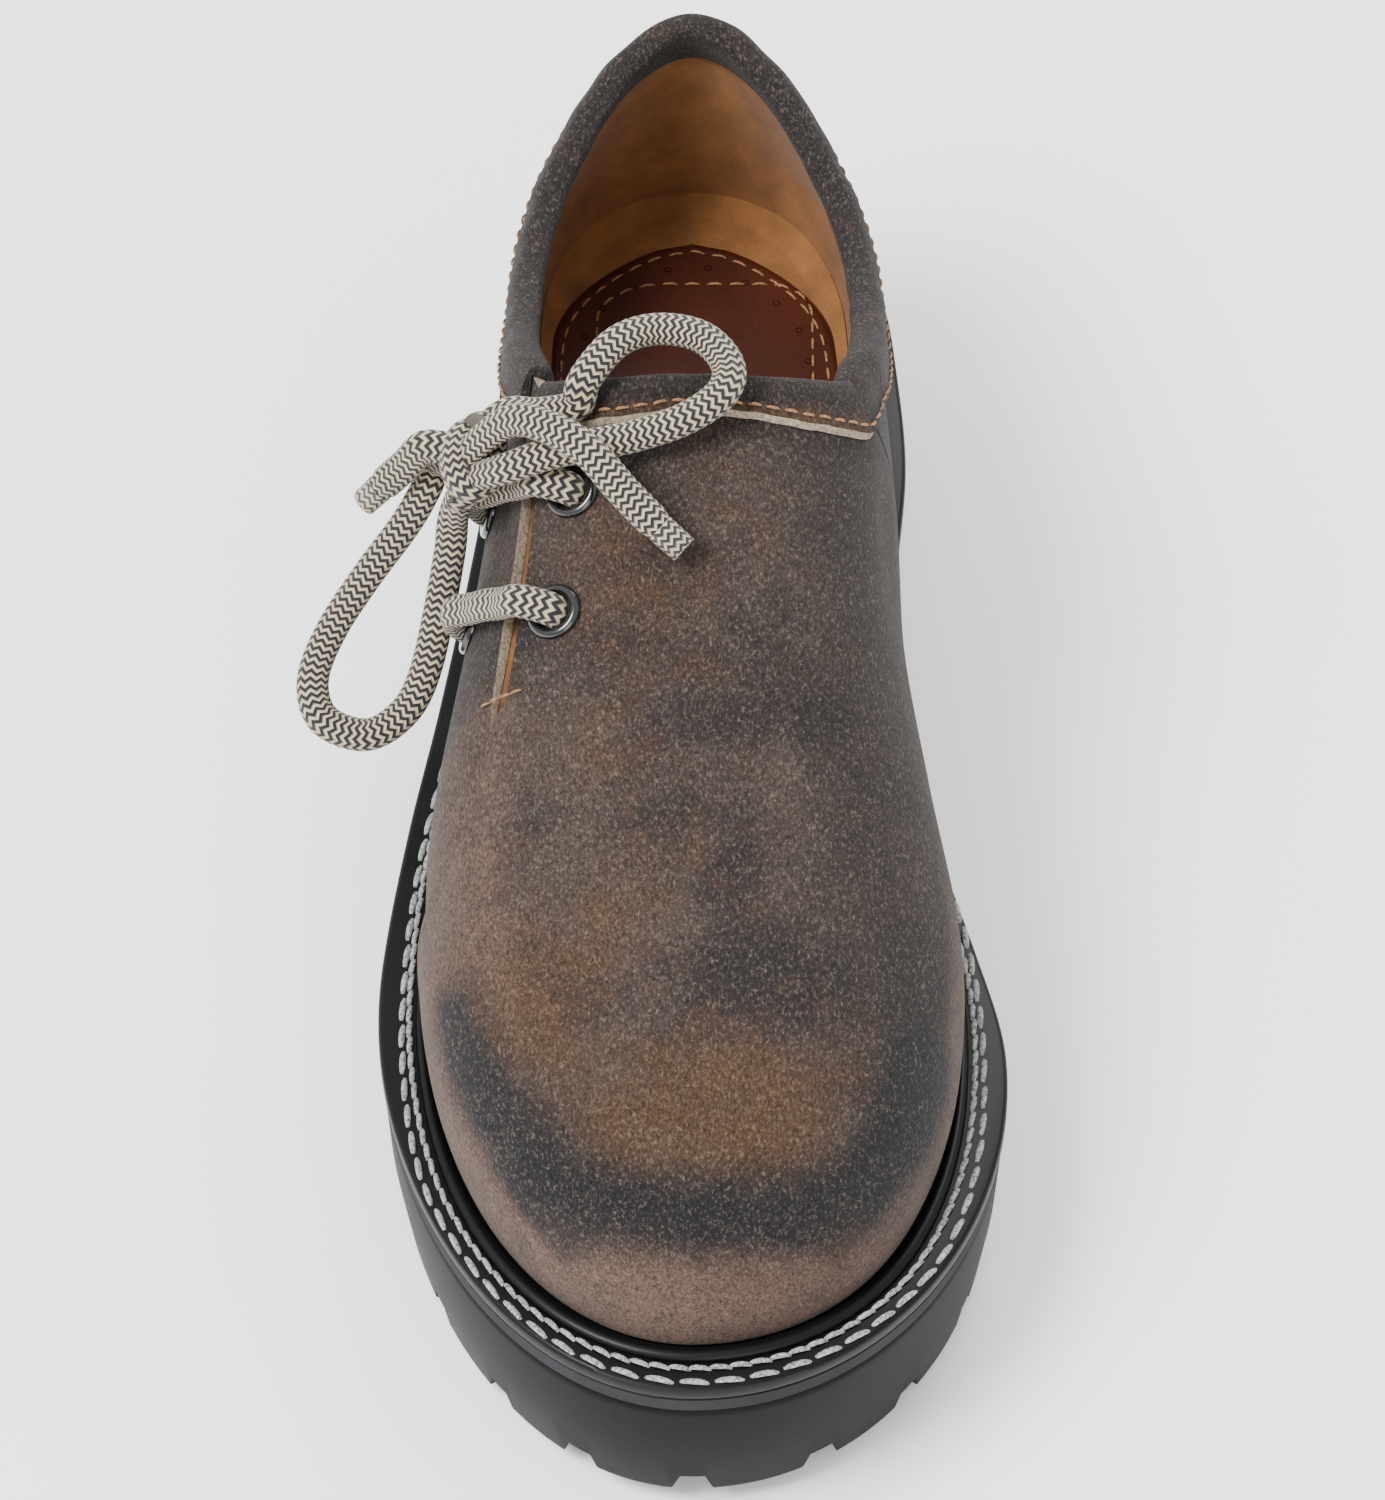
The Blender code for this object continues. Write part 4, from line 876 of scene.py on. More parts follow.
def material_of(name):
    """Material made once and kept by name."""
    if name not in MATERIALS:
        colours = bpy.context.scene.shoe_colours
        sizes = bpy.context.scene.shoe_sizes
        makers = {
            "suede": lambda: make_suede(colours, "napped_suede", colours.suede),
            "collar": lambda: make_suede(colours, "napped_collar_suede", colours.grey_suede_and_painted_shade),
            "raw": lambda: make_raw_edge(colours),
            "lining": lambda: make_nubuck("buffed_calf_lining", colours.lining, dim(colours.lining, 0.62)),
            "gusset": lambda: make_nubuck("buffed_tan_hide", colours.gusset, dim(colours.gusset, 0.45), 4.0),
            "sock": lambda: make_sock_leather(colours),
            "welt": lambda: make_waxed("waxed_welt_leather", colours.welt, 0.45, 0.1),
            "midsole": lambda: make_waxed("cut_foam_rubber", colours.midsole, 0.8, 0.0, 0.9, 0.15),
            "outsole": lambda: make_waxed("moulded_rubber", colours.outsole, 0.55, 0.0, 0.8, 0.05),
            "thread_pale": lambda: make_thread("waxed_linen_thread", colours.thread_pale,
                                               dim(colours.thread_pale, 0.25)),
            "thread_tan": lambda: make_thread("tan_linen_thread", colours.thread_tan,
                                              dim(colours.thread_tan, 0.4)),
            "enamel": lambda: make_enamel(colours),
            "braid": lambda: make_braid(colours, sizes),
            "wrapped": lambda: make_braid(colours, sizes, "braid_under_film", 0.8),
            # Painted shade: the holes' floors are coloured almost black, for the shade inside them.
            "hole": lambda: make_waxed("punched_hole", dim(colours.sock, 0.12), 0.9, 0.0),
        }
        MATERIALS[name] = makers[name]()
    return MATERIALS[name]


# ---- pieces ----


def eyelet_frame(name):
    """Middle, and side, up and outward vectors of an eyelet."""
    station, turn = EYELETS[name]
    normal = skin_normal(station, turn)
    frame_turn = Vector(normal).to_track_quat("Z", "Y").to_matrix()
    return skin(station, turn), np.array(frame_turn.col[0]), np.array(frame_turn.col[1]), normal


def lace_tube(name, line, up, sizes, material, replaces=(), taper=None, scale=1.0):
    """Braided lace along a line, with the rows of its braid standing out."""
    width, thickness = sizes.lace_width / 2 * scale, sizes.lace_thickness / 2 * scale
    count = max(16, round(arc_lengths(line)[-1] / (0.26 * MM)))
    at = np.linspace(0, len(line) - 1, count)
    line_up = np.stack([np.interp(at, np.arange(len(line)), up[:, axis]) for axis in range(3)], axis=1)
    middle = resample(line, count)
    side, rise = line_frames(middle, line_up)
    along = arc_lengths(middle)
    around = 54
    angle = np.arange(around) / around
    teeth = np.abs((angle * sizes.braid_teeth) % 1.0 - 0.5)
    teeth = 0.5 - teeth
    phase = along[:, None] / sizes.braid_pitch + 1.1 * teeth[None, :]
    relief = np.abs(np.sin(2 * math.pi * phase)) ** 0.7 * 0.16 * MM
    size = np.ones(count) if taper is None else taper(along / along[-1])
    cos, sin = np.cos(2 * math.pi * angle), np.sin(2 * math.pi * angle)
    reach_side = (width + relief) * cos[None, :] * size[:, None]
    reach_up = (thickness + relief) * sin[None, :] * size[:, None]
    points = middle[:, None] + side[:, None] * reach_side[..., None] + rise[:, None] * reach_up[..., None]
    points = np.vstack([points.reshape(-1, 3), middle[:1], middle[-1:]])
    faces = ring_faces(count, around, closed=False).tolist()
    start, end = count * around, count * around + 1
    last = (count - 1) * around
    faces += [(start, (index + 1) % around, index) for index in range(around)]
    faces += [(end, last + index, last + (index + 1) % around) for index in range(around)]
    piece = add_piece(name, points, faces, [material], replaces=replaces)
    chart = piece.data.uv_layers.new(name="braid")
    values = np.zeros((len(piece.data.loops), 2), np.float32)
    corners = np.zeros(len(piece.data.loops), np.int32)
    piece.data.loops.foreach_get("vertex_index", corners)
    ring, index = np.minimum(corners // around, count - 1), corners % around
    values[:, 0], values[:, 1] = index / around, along[ring]
    quads = (count - 1) * around
    first = values[:quads * 4, 0].reshape(-1, 4)
    wrapped = (first.max(axis=1) - first.min(axis=1)) > 0.5
    first[wrapped] = np.where(first[wrapped] < 0.5, first[wrapped] + 1.0, first[wrapped])
    chart.data.foreach_set("uv", values.ravel())
    return piece, middle


def bar_route(start, end):
    """Route of a lace bar from one eyelet's bore over the slit into another's."""
    turn_out = GAP + EYELET_PROUD + GAP + CORD_SOLID / 2
    first, _side, _up, first_out = eyelet_frame(start)
    last, _side, _up, last_out = eyelet_frame(end)
    ends = np.array([EYELETS[start], EYELETS[end]])

    def over(share, height):
        station, turn = ends[0] + (ends[1] - ends[0]) * share
        return skin_offset(station, turn, height)

    return np.array([
        first + first_out * (-WALL + GAP), first + first_out * turn_out * 0.45,
        over(0.16, turn_out + 0.0008), over(0.34, BAR_LIFT), over(0.50, BAR_LIFT), over(0.66, BAR_LIFT),
        over(0.84, turn_out + 0.0008), last + last_out * turn_out * 0.45, last + last_out * (-WALL + GAP),
    ])


def knot_frame():
    """Middle of the knot, and its vectors along the slit, across it and outwards."""
    normal = skin_normal(KNOT_STATION, KNOT_TURN)
    run = skin(KNOT_STATION + 0.01, KNOT_TURN) - skin(KNOT_STATION - 0.01, KNOT_TURN)
    across = unit(np.cross(normal, run))
    return skin(KNOT_STATION, KNOT_TURN) + normal * KNOT_LIFT, np.cross(across, normal), across, normal


class ShoeOperator:
    """Shared settings of the shoe's operators."""

    bl_options = {"REGISTER", "UNDO"}


class SHOE_OT_stage(ShoeOperator, bpy.types.Operator):
    """Add the camera, the lights and the pale floor"""

    bl_idname = "shoe.stage"
    bl_label = "Stage"

    def execute(self, context):
        scene = context.scene
        camera_data = bpy.data.cameras.new("camera")
        camera_data.lens = 158.5
        camera_data.sensor_width = 36.0
        camera_data.clip_start, camera_data.clip_end = 0.05, 20.0
        camera = bpy.data.objects.new("camera", camera_data)
        scene.collection.objects.link(camera)
        camera.location = (0.0, -0.8248, 1.0229)
        aim = Vector((0.0, -0.0085, 0.050)) - camera.location
        camera.rotation_euler = aim.to_track_quat("-Z", "Y").to_euler()
        scene.camera = camera

        colours = scene.shoe_colours
        material, tree, shader, place = start_material("matt_painted_floor", 0.9)
        grain = noise(tree, place, 2.0)
        colour = mix(tree, ramp(tree, grain, 0.3, 0.7, 0.0, 0.03), colours.floor, dim(colours.floor, 0.9))
        finish_material(tree, shader, colour, grain, 0.01, 0.1)
        reach = 4.0
        mesh = bpy.data.meshes.new("floor")
        corners = [(-reach, -reach, 0), (reach, -reach, 0), (reach, reach, 0), (-reach, reach, 0)]
        mesh.from_pydata(corners, [], [(0, 1, 2, 3)])
        mesh.materials.append(material)
        floor = bpy.data.objects.new("floor", mesh)
        scene.collection.objects.link(floor)

        def add_light(name, place_at, size, power, target=(0.0, 0.0, 0.05)):
            light = bpy.data.lights.new(name, "AREA")
            light.shape = "DISK"
            light.size = size
            light.energy = power
            thing = bpy.data.objects.new(name, light)
            thing.location = place_at
            thing.rotation_euler = (Vector(target) - Vector(place_at)).to_track_quat("-Z", "Y").to_euler()
            scene.collection.objects.link(thing)

        add_light("light_key", (-0.9, -0.5, 1.6), 0.9, 58.0)
        add_light("light_back", (0.5, 1.4, 1.3), 0.9, 22.0)
        add_light("light_front", (0.5, -1.8, 0.9), 1.2, 16.0)
        world = bpy.data.worlds.new("studio")
        world.use_nodes = True
        world.node_tree.nodes["Background"].inputs["Color"].default_value = (1.0, 1.0, 1.0, 1.0)
        world.node_tree.nodes["Background"].inputs["Strength"].default_value = 1.3
        scene.world = world
        return {"FINISHED"}


class SHOE_OT_laces(ShoeOperator, bpy.types.Operator):
    """Add the lace bars, the knot, the loops and the wrapped ends"""

    bl_idname = "shoe.laces"
    bl_label = "Laces"

    def execute(self, context):
        sizes = context.scene.shoe_sizes
        braid = material_of("braid")
        for name, start, end in (("lace_bar_low", "eyelet_vamp_low", "eyelet_quarter_low"),
                                 ("lace_bar_top", "eyelet_vamp_top", "eyelet_quarter_top")):
            line = smooth_route(bar_route(start, end), 0.5 * MM)
            shares = np.linspace(0.0, 1.0, len(line))
            ends = np.array([EYELETS[start], EYELETS[end]])
            at = ends[0] + (ends[1] - ends[0]) * shares[:, None]
            up = skin_normal(at[:, 0], at[:, 1])
            up[:4], up[-4:] = up[4], up[-5]
            first_in = unit(line[-1] - line[0])
            up = unit(up + first_in * (0.9 * np.clip(0.18 - shares, 0, 1) / 0.18)[:, None] * -1.0
                      + first_in * (0.9 * np.clip(shares - 0.82, 0, 1) / 0.18)[:, None])
            lace_tube(name + "_braid", line, up, sizes, braid, replaces=(name,))

        centre, along, across, out = knot_frame()
        turns = 1.62
        t = np.linspace(0.0, 1.0, 120)
        angle = 2 * math.pi * (turns * t + 0.42)
        helix = (centre + np.outer(np.cos(angle) * 6.4 * MM, along) + np.outer(np.sin(angle) * 3.7 * MM, out)
                 + np.outer((t - 0.5) * -7.4 * MM, across))
        outward = unit(np.outer(np.cos(angle) * 3.7, along) + np.outer(np.sin(angle) * 6.4, out))
        lace_tube("lace_knot_wrap", helix, outward, sizes, braid, replaces=("lace_knot",))

        def free_cord(node, route, inside, up, tip=0.0):
            """Lace from inside the knot along a free route, with a wrapped tip of a given length."""
            line = smooth_route(np.vstack([*inside, route]), 0.4 * MM)
            ups = steady_up(line, up) if tip else unit(np.broadcast_to(np.asarray(up, float), line.shape))
            length = arc_lengths(line)[-1]

            def narrowed(share):
                return 1.0 - 0.16 * smooth((share * length - length + 1.4 * tip) / (0.4 * tip))

            piece, middle = lace_tube(node + "_braid", line, ups, sizes, braid, replaces=(node,),
                                      taper=narrowed if tip else None)
            if tip:
                first = int(len(line) * (1.0 - tip / length))
                tip_piece, _middle = lace_tube(node + "_tip", line[first:], ups[first:], sizes,
                                               material_of("wrapped"), taper=lambda share: 0.89 - 0.05 * share)

        free_cord("lace_loop_front", np.vstack([LOOP_FRONT, [centre + along * 3.5 * MM]]),
                  [centre + (out - across * 3.0) * MM], (0.0, -0.25, 1.0))
        free_cord("lace_loop_side", np.vstack([LOOP_SIDE, [centre + (across + along * 2.0) * MM]]),
                  [centre + across * 3.0 * MM], (-0.35, -0.35, 0.9))
        free_cord("lace_end_front", END_FRONT, [centre + out * 2.0 * MM], (0.0, -0.2, 1.0),
                  6.0 * MM)
        free_cord("lace_end_side", END_SIDE, [centre + (along * 6.0 - across * 3.0) * MM, centre],
                  (-0.3, -0.3, 0.9), 5.5 * MM)
        return {"FINISHED"}


CREASES = (
    # station, turn, run along station, run along turn, length, width, depth in millimetres
    (0.455, -0.475, 1.0, 0.05, 26.0, 4.5, 0.9),
    (0.520, -0.520, 0.7, -0.35, 22.0, 5.0, 0.5),
    (0.610, -0.300, 0.5, 0.8, 26.0, 7.0, 0.35),
    (0.655, 0.330, 0.25, 1.0, 34.0, 8.0, 0.45),
    (0.450, 0.560, 1.0, 0.25, 30.0, 6.0, 0.6),
    (0.700, -0.620, 0.9, -0.3, 22.0, 6.0, 0.4),
)


def place_distance(points, station, turn):
    """Distance of points from a line of places on the skin."""
    line = resample(skin(np.asarray(station, float), np.asarray(turn, float)), 60)
    return np.linalg.norm(points[:, None, :] - line[None, :, :], axis=2).min(axis=1)


def crease_depth(points):
    """Depth of the listed creases at points of the skin."""
    depth = np.zeros(len(points))
    for at_station, at_turn, run_s, run_t, length, width, deep in CREASES:
        middle = skin(at_station, at_turn)
        ahead = skin(at_station + 0.01 * run_s, at_turn + 0.01 * run_t) - middle
        ahead = ahead / np.linalg.norm(ahead)
        away = points - middle
        lengthways = away @ ahead
        across = np.sqrt(np.maximum((away ** 2).sum(1) - lengthways ** 2, 0.0))
        depth += deep * MM * np.exp(-(across / (width * MM)) ** 2 - (lengthways / (length * MM / 2)) ** 2)
    return depth


WARM_PATCHES = (
    # station, turn, radius in millimetres, strength
    (0.785, -0.46, 13.0, 0.9), (0.828, -0.34, 13.0, 0.9), (0.890, 0.02, 15.0, 1.0), (0.905, -0.16, 12.0, 0.7),
    (0.898, 0.17, 12.0, 0.7), (0.765, -0.14, 12.0, 0.55), (0.711, -0.05, 12.0, 0.35),
    (0.645, -0.19, 13.0, 0.35),
    (0.571, -0.08, 14.0, 0.45), (0.512, -0.15, 12.0, 0.45), (0.985, 0.25, 9.0, 0.6), (0.700, -0.42, 9.0, 0.3),
    (0.840, 0.30, 10.0, 0.4), (0.960, 0.60, 8.0, 0.6), (0.505, 0.05, 12.0, 0.3),
)


def suede_tones(points, station, turn):
    """Burnish, warm, pale and grey shares of the suede, placed in the shoe's own sizes."""
    count = len(points)
    crescent_s = (0.800, 0.845, 0.905, 0.945, 0.957, 0.950, 0.930, 0.885, 0.845)
    crescent_t = (-0.560, -0.530, -0.450, -0.300, 0.000, 0.280, 0.460, 0.540, 0.560)
    from_crescent = place_distance(points, crescent_s, crescent_t) / MM
    burnish = np.exp(-(from_crescent / 8.5) ** 2) * 0.95
    burnish += 0.5 * np.exp(-(place_distance(points, (0.77, 0.82, 0.88), (0.42, 0.50, 0.52)) / MM / 9.0) ** 2)
    warm = np.zeros(count)
    for at_station, at_turn, radius, strength in WARM_PATCHES:
        away = np.linalg.norm(points - skin(at_station, at_turn), axis=1) / MM
        warm += strength * np.exp(-(away / radius) ** 2)
    # Painted light: the pale share lightens the toe's wall, most on the outer side, and the outer flank of the
    # vamp, which face the key light.
    wall = smooth((station - 0.60) / 0.2) * smooth((np.abs(turn) - 0.56) / 0.1)
    wall = np.maximum(wall, smooth((station - 0.955) / 0.02))
    pale = wall * np.where(turn > 0, 0.75, 1.0)
    painted_light_flank = smooth((-turn - 0.28) / 0.14) * smooth((station - 0.56) / 0.05) * smooth((0.86 - station) / 0.1)
    pale = np.maximum(pale, 0.6 * painted_light_flank)
    # Painted shade: the grey share darkens the inner side, which faces away from the key light, the outer
    # quarter beside the slit, where the vamp's edge stands over it, and a spot under the front lace loop; it
    # also greys the suede towards the heel.
    grey = 0.75 * smooth((points[:, 0] / MM - 8.0) / 26.0) * (1.0 - 0.8 * smooth((station - 0.86) / 0.08))
    quarter = smooth((-turn - 0.42) / 0.1) * smooth((0.6 - station) / 0.1)
    grey += 0.25 * smooth((0.56 - station) / 0.12) + 0.5 * quarter
    grey += 0.55 * np.exp(-(np.linalg.norm(points - skin(0.455, -0.16), axis=1) / MM / 9.0) ** 2)
    return np.clip(np.stack([burnish, warm, pale, grey], axis=1), 0.0, 1.0)


class SHOE_OT_upper(ShoeOperator, bpy.types.Operator):
    """Add the suede vamp and quarters, with the slit, the raw edge of the vamp and the lining"""

    bl_idname = "shoe.upper"
    bl_label = "Upper"

    def execute(self, context):
        left_turn, right_turn, corner = -0.415, -0.355, COLLAR_CORNER
        outer_side = np.linspace(-1.0, left_turn, 52)
        turns = np.concatenate([
            outer_side, [-corner, right_turn], np.linspace(right_turn, corner, 74)[1:],
            np.linspace(corner, 1.0, 56)[1:]])
        left_column, right_column = len(outer_side) - 1, len(outer_side) + 1
        share_at_end = (1.0 - SLIT_END) / (1.0 - CORNER_STATION)
        behind = np.linspace(1.0, share_at_end, 40)
        ahead = share_at_end * (1.0 - np.linspace(0.0, 1.0, 96)) ** 1.35
        ahead[-1] = share_at_end * 0.0002
        rows = np.concatenate([behind, ahead])
        quarter_rows = len(behind)

        def warped(share, base_turn):
            edge = front_edge(base_turn)
            station = 1.0 - (1.0 - edge) * share
            seam = smooth_curve(SEAM_LINE, np.abs(base_turn)) - SLIT_END
            seam = np.where(base_turn < 0, seam * smooth((-base_turn - 0.30) / 0.06), 0.0)
            window = np.where(share > share_at_end, (1.0 - share) / (1.0 - share_at_end),
                              share / share_at_end)
            station = station + seam * window
            slit = smooth_curve(SLIT_LINE, station)
            across = np.linalg.norm(skin(station, slit + 0.01) - skin(station, slit - 0.01), axis=-1) / 0.02
            half = SLIT_WIDTH / 2 / across
            anchors = [-0.80, left_turn, right_turn, -0.05]
            low = slit - half - left_turn
            high = slit + half - right_turn
            u = np.clip(base_turn, anchors[0], anchors[3])
            between = low + (high - low) * (u - left_turn) / (right_turn - left_turn)
            beyond = high * smooth((anchors[3] - u) / (anchors[3] - right_turn))
            before = low * smooth((u - anchors[0]) / (left_turn - anchors[0]))
            shift = np.where(u < left_turn, before, np.where(u < right_turn, between, beyond))
            fade = smooth((1.05 - station) / 0.25)
            return station, base_turn + shift * fade

        grid_share, grid_turn = np.meshgrid(rows, turns, indexing="ij")
        station, turn = warped(grid_share, grid_turn)
        seam_station = smooth_curve(SEAM_LINE, np.abs(grid_turn))
        is_quarter = (np.arange(len(rows)) < quarter_rows)[:, None] & (grid_turn <= left_turn + 1e-6)
        step = SEAM_STEP * (1.0 - smooth((seam_station - station) / RECESS_LENGTH))
        offset = np.where(is_quarter, -step, 0.0)
        at_seam = np.exp(-((station - seam_station) / 0.010) ** 2)
        lip = at_seam * smooth((-grid_turn - 0.34) / 0.05) * 0.35 * MM
        offset = offset + np.where(is_quarter, 0.0, lip)
        columns = len(turns)
        faces = grid_faces(len(rows), columns)
        row_of, column_of = faces[:, 0] // columns, faces[:, 0] % columns
        slit_face = (column_of >= left_column) & (column_of < right_column) & (row_of < quarter_rows - 1)
        step_face = row_of == quarter_rows - 1
        keep = ~slit_face & ~(step_face & (column_of >= left_column))
        blocks = [(station.ravel(), turn.ravel(), offset.ravel(), faces[keep],
                   np.where(step_face[keep], STEP_FACE, SUEDE))]
        count = station.size

        side_rows = 84
        back_share = (1.0 - np.arange(side_rows + 1) / side_rows) ** 1.7
        back_station = CORNER_STATION * back_share
        for side in (-1, 1):
            inner = smooth_curve(SIDE_EDGE, back_station)
            base = np.abs(turns[(turns * side) >= corner - 1e-9])
            base = np.sort(base)
            if side < 0:
                nominal = -base
            else:
                nominal = base
            spread_share = (base - corner) / (1.0 - corner)
            turn_rows = side * (1.0 - (1.0 - inner[:, None]) * (1.0 - spread_share[None, :]))
            _row_station, row_turn = warped(np.ones(len(base)), nominal)
            fade = smooth((back_station - 0.28) / (CORNER_STATION - 0.28))
            turn_rows = turn_rows + (row_turn - nominal)[None, :] * fade[:, None]
            station_rows = np.broadcast_to(back_station[:, None], turn_rows.shape)
            off = np.zeros(turn_rows.shape)
            if side < 0:
                seam = smooth_curve(SEAM_LINE, np.abs(turn_rows))
                off = -SEAM_STEP * (1.0 - smooth((seam - station_rows) / RECESS_LENGTH))
            block_faces = grid_faces(len(back_station), len(base))
            blocks.append((station_rows.ravel(), turn_rows.ravel(), off.ravel(), block_faces + count,
                           np.zeros(len(block_faces), int)))
            count += turn_rows.size

        stations = np.concatenate([block[0] for block in blocks])
        turns_all = np.concatenate([block[1] for block in blocks])
        offsets = np.concatenate([block[2] for block in blocks])
        base_points = skin(stations, turns_all)
        normals = skin_normal(stations, turns_all)
        tip = smooth((stations - 0.985) / 0.0145)[:, None]
        normals = unit(normals * (1.0 - tip) + np.array([0.0, -1.0, 0.0]) * tip)
        creased = crease_depth(base_points)
        outer = base_points + normals * (offsets - creased)[:, None]
        inner_points = base_points - normals * (WALL + creased * 0.6)[:, None]
        all_faces = np.vstack([block[3] for block in blocks])
        kinds_outer = np.concatenate([block[4] for block in blocks])

        # Points that two blocks share become one, so that the rim is found only at real edges.
        keys = np.round(np.hstack([outer, inner_points]) / JOIN_STEP).astype(np.int64)
        _unique, first, joined = np.unique(keys, axis=0, return_index=True, return_inverse=True)
        joined = joined.ravel()
        merged = [tuple(dict.fromkeys(face)) for face in joined[all_faces].tolist()]
        whole = [(face, kind) for face, kind in zip(merged, kinds_outer) if len(face) == 4]
        pointed = [(face, kind) for face, kind in zip(merged, kinds_outer) if len(face) == 3]
        polys = [face for face, _kind in whole + pointed]
        kinds = [RAW if kind == STEP_FACE else SUEDE for _face, kind in whole + pointed]
        polys.append(tuple(joined[(len(rows) - 1) * columns:len(rows) * columns].tolist()))
        kinds.append(SUEDE)
        points, faces, kinds = shell(outer[first], inner_points[first], polys, kinds)
        piece = add_piece("upper_suede", points, faces,
                          [material_of("suede"), material_of("lining"), material_of("raw")], kinds,
                          replaces=("upper",), soft_angle=48)
        tones = suede_tones(base_points[first], stations[first], turns_all[first])
        set_tone(piece, "tone", np.vstack([tones, tones]))
        face_outwards(piece.data)
        piece.data.shade_smooth()
        piece.data.set_sharp_from_angle(angle=math.radians(48))
        return {"FINISHED"}


def opening_path(count):
    """Stations and turns evenly apart round the opening, from the outer corner back over the heel."""
    steps = 400
    share = np.linspace(0.0, 1.0, steps, endpoint=False)
    going = CORNER_STATION * (1.0 - share) ** 1.6
    coming = CORNER_STATION * share ** 1.6
    front = COLLAR_CORNER * (1.0 - 2.0 * share)
    stations = np.concatenate([going, coming, front_edge(front)])
    turns = np.concatenate([-smooth_curve(SIDE_EDGE, going), smooth_curve(SIDE_EDGE, coming), front])
    points = skin(stations, turns)
    along = arc_lengths(np.vstack([points, points[:1]]))
    at = np.linspace(0.0, along[-1], count, endpoint=False)
    place = np.interp(at, along, np.arange(len(along)))
    root = np.concatenate([-np.sqrt(going), np.sqrt(coming), np.sqrt(front_edge(front)),
                           [-np.sqrt(going[0])]])
    index = np.clip(np.floor(place).astype(int), 0, len(stations) - 1)
    part = place - index

    def here(values):
        return values[index] * (1 - part) + values[(index + 1) % len(values)] * part

    # The sides go by the root of the station, which is even round the heel, and by the turn without its sign.
    station_here = np.where(index == len(stations) - 1, here(stations), here(root) ** 2)
    side = np.where(place < steps, -1.0, 1.0)
    turn_here = np.where(place >= 2 * steps, here(turns), side * here(np.abs(turns)))
    return station_here, turn_here


def collar_ring(count=420):
    """Path of the collar: stations, turns, points, normals and directions down the skin."""
    station, turn = opening_path(count)
    points = skin(station, turn)
    normal = skin_normal(station, turn)
    run = unit(np.roll(points, -1, axis=0) - np.roll(points, 1, axis=0))
    for _ in range(10):
        run = unit((np.roll(run, 1, axis=0) + 2 * run + np.roll(run, -1, axis=0)) / 4)
        normal = unit((np.roll(normal, 1, axis=0) + 2 * normal + np.roll(normal, -1, axis=0)) / 4)
    down = unit(np.cross(normal, run))
    return station, turn, points, normal, down


def collar_width(turn):
    """Width of the band's outer leaf as a share of the full one."""
    return blend(1.0, COLLAR_FRONT, 1.0 - np.abs(turn) / COLLAR_CORNER)


def collar_point(ring, distance, offset):
    """Points of the collar at a distance down the skin, and out of it."""
    station, turn, points, normal, down = ring
    distance = np.broadcast_to(distance, len(points))
    offset = np.broadcast_to(offset, len(points))
    moved_s, moved_t = slide(station, turn, down * np.maximum(distance, 0.0)[:, None])
    below = skin(moved_s, moved_t) + skin_normal(moved_s, moved_t) * offset[:, None]
    above = points + down * distance[:, None] + normal * offset[:, None]
    share = smooth(distance / (1.5 * MM))[:, None]
    return above * (1.0 - share) + below * share


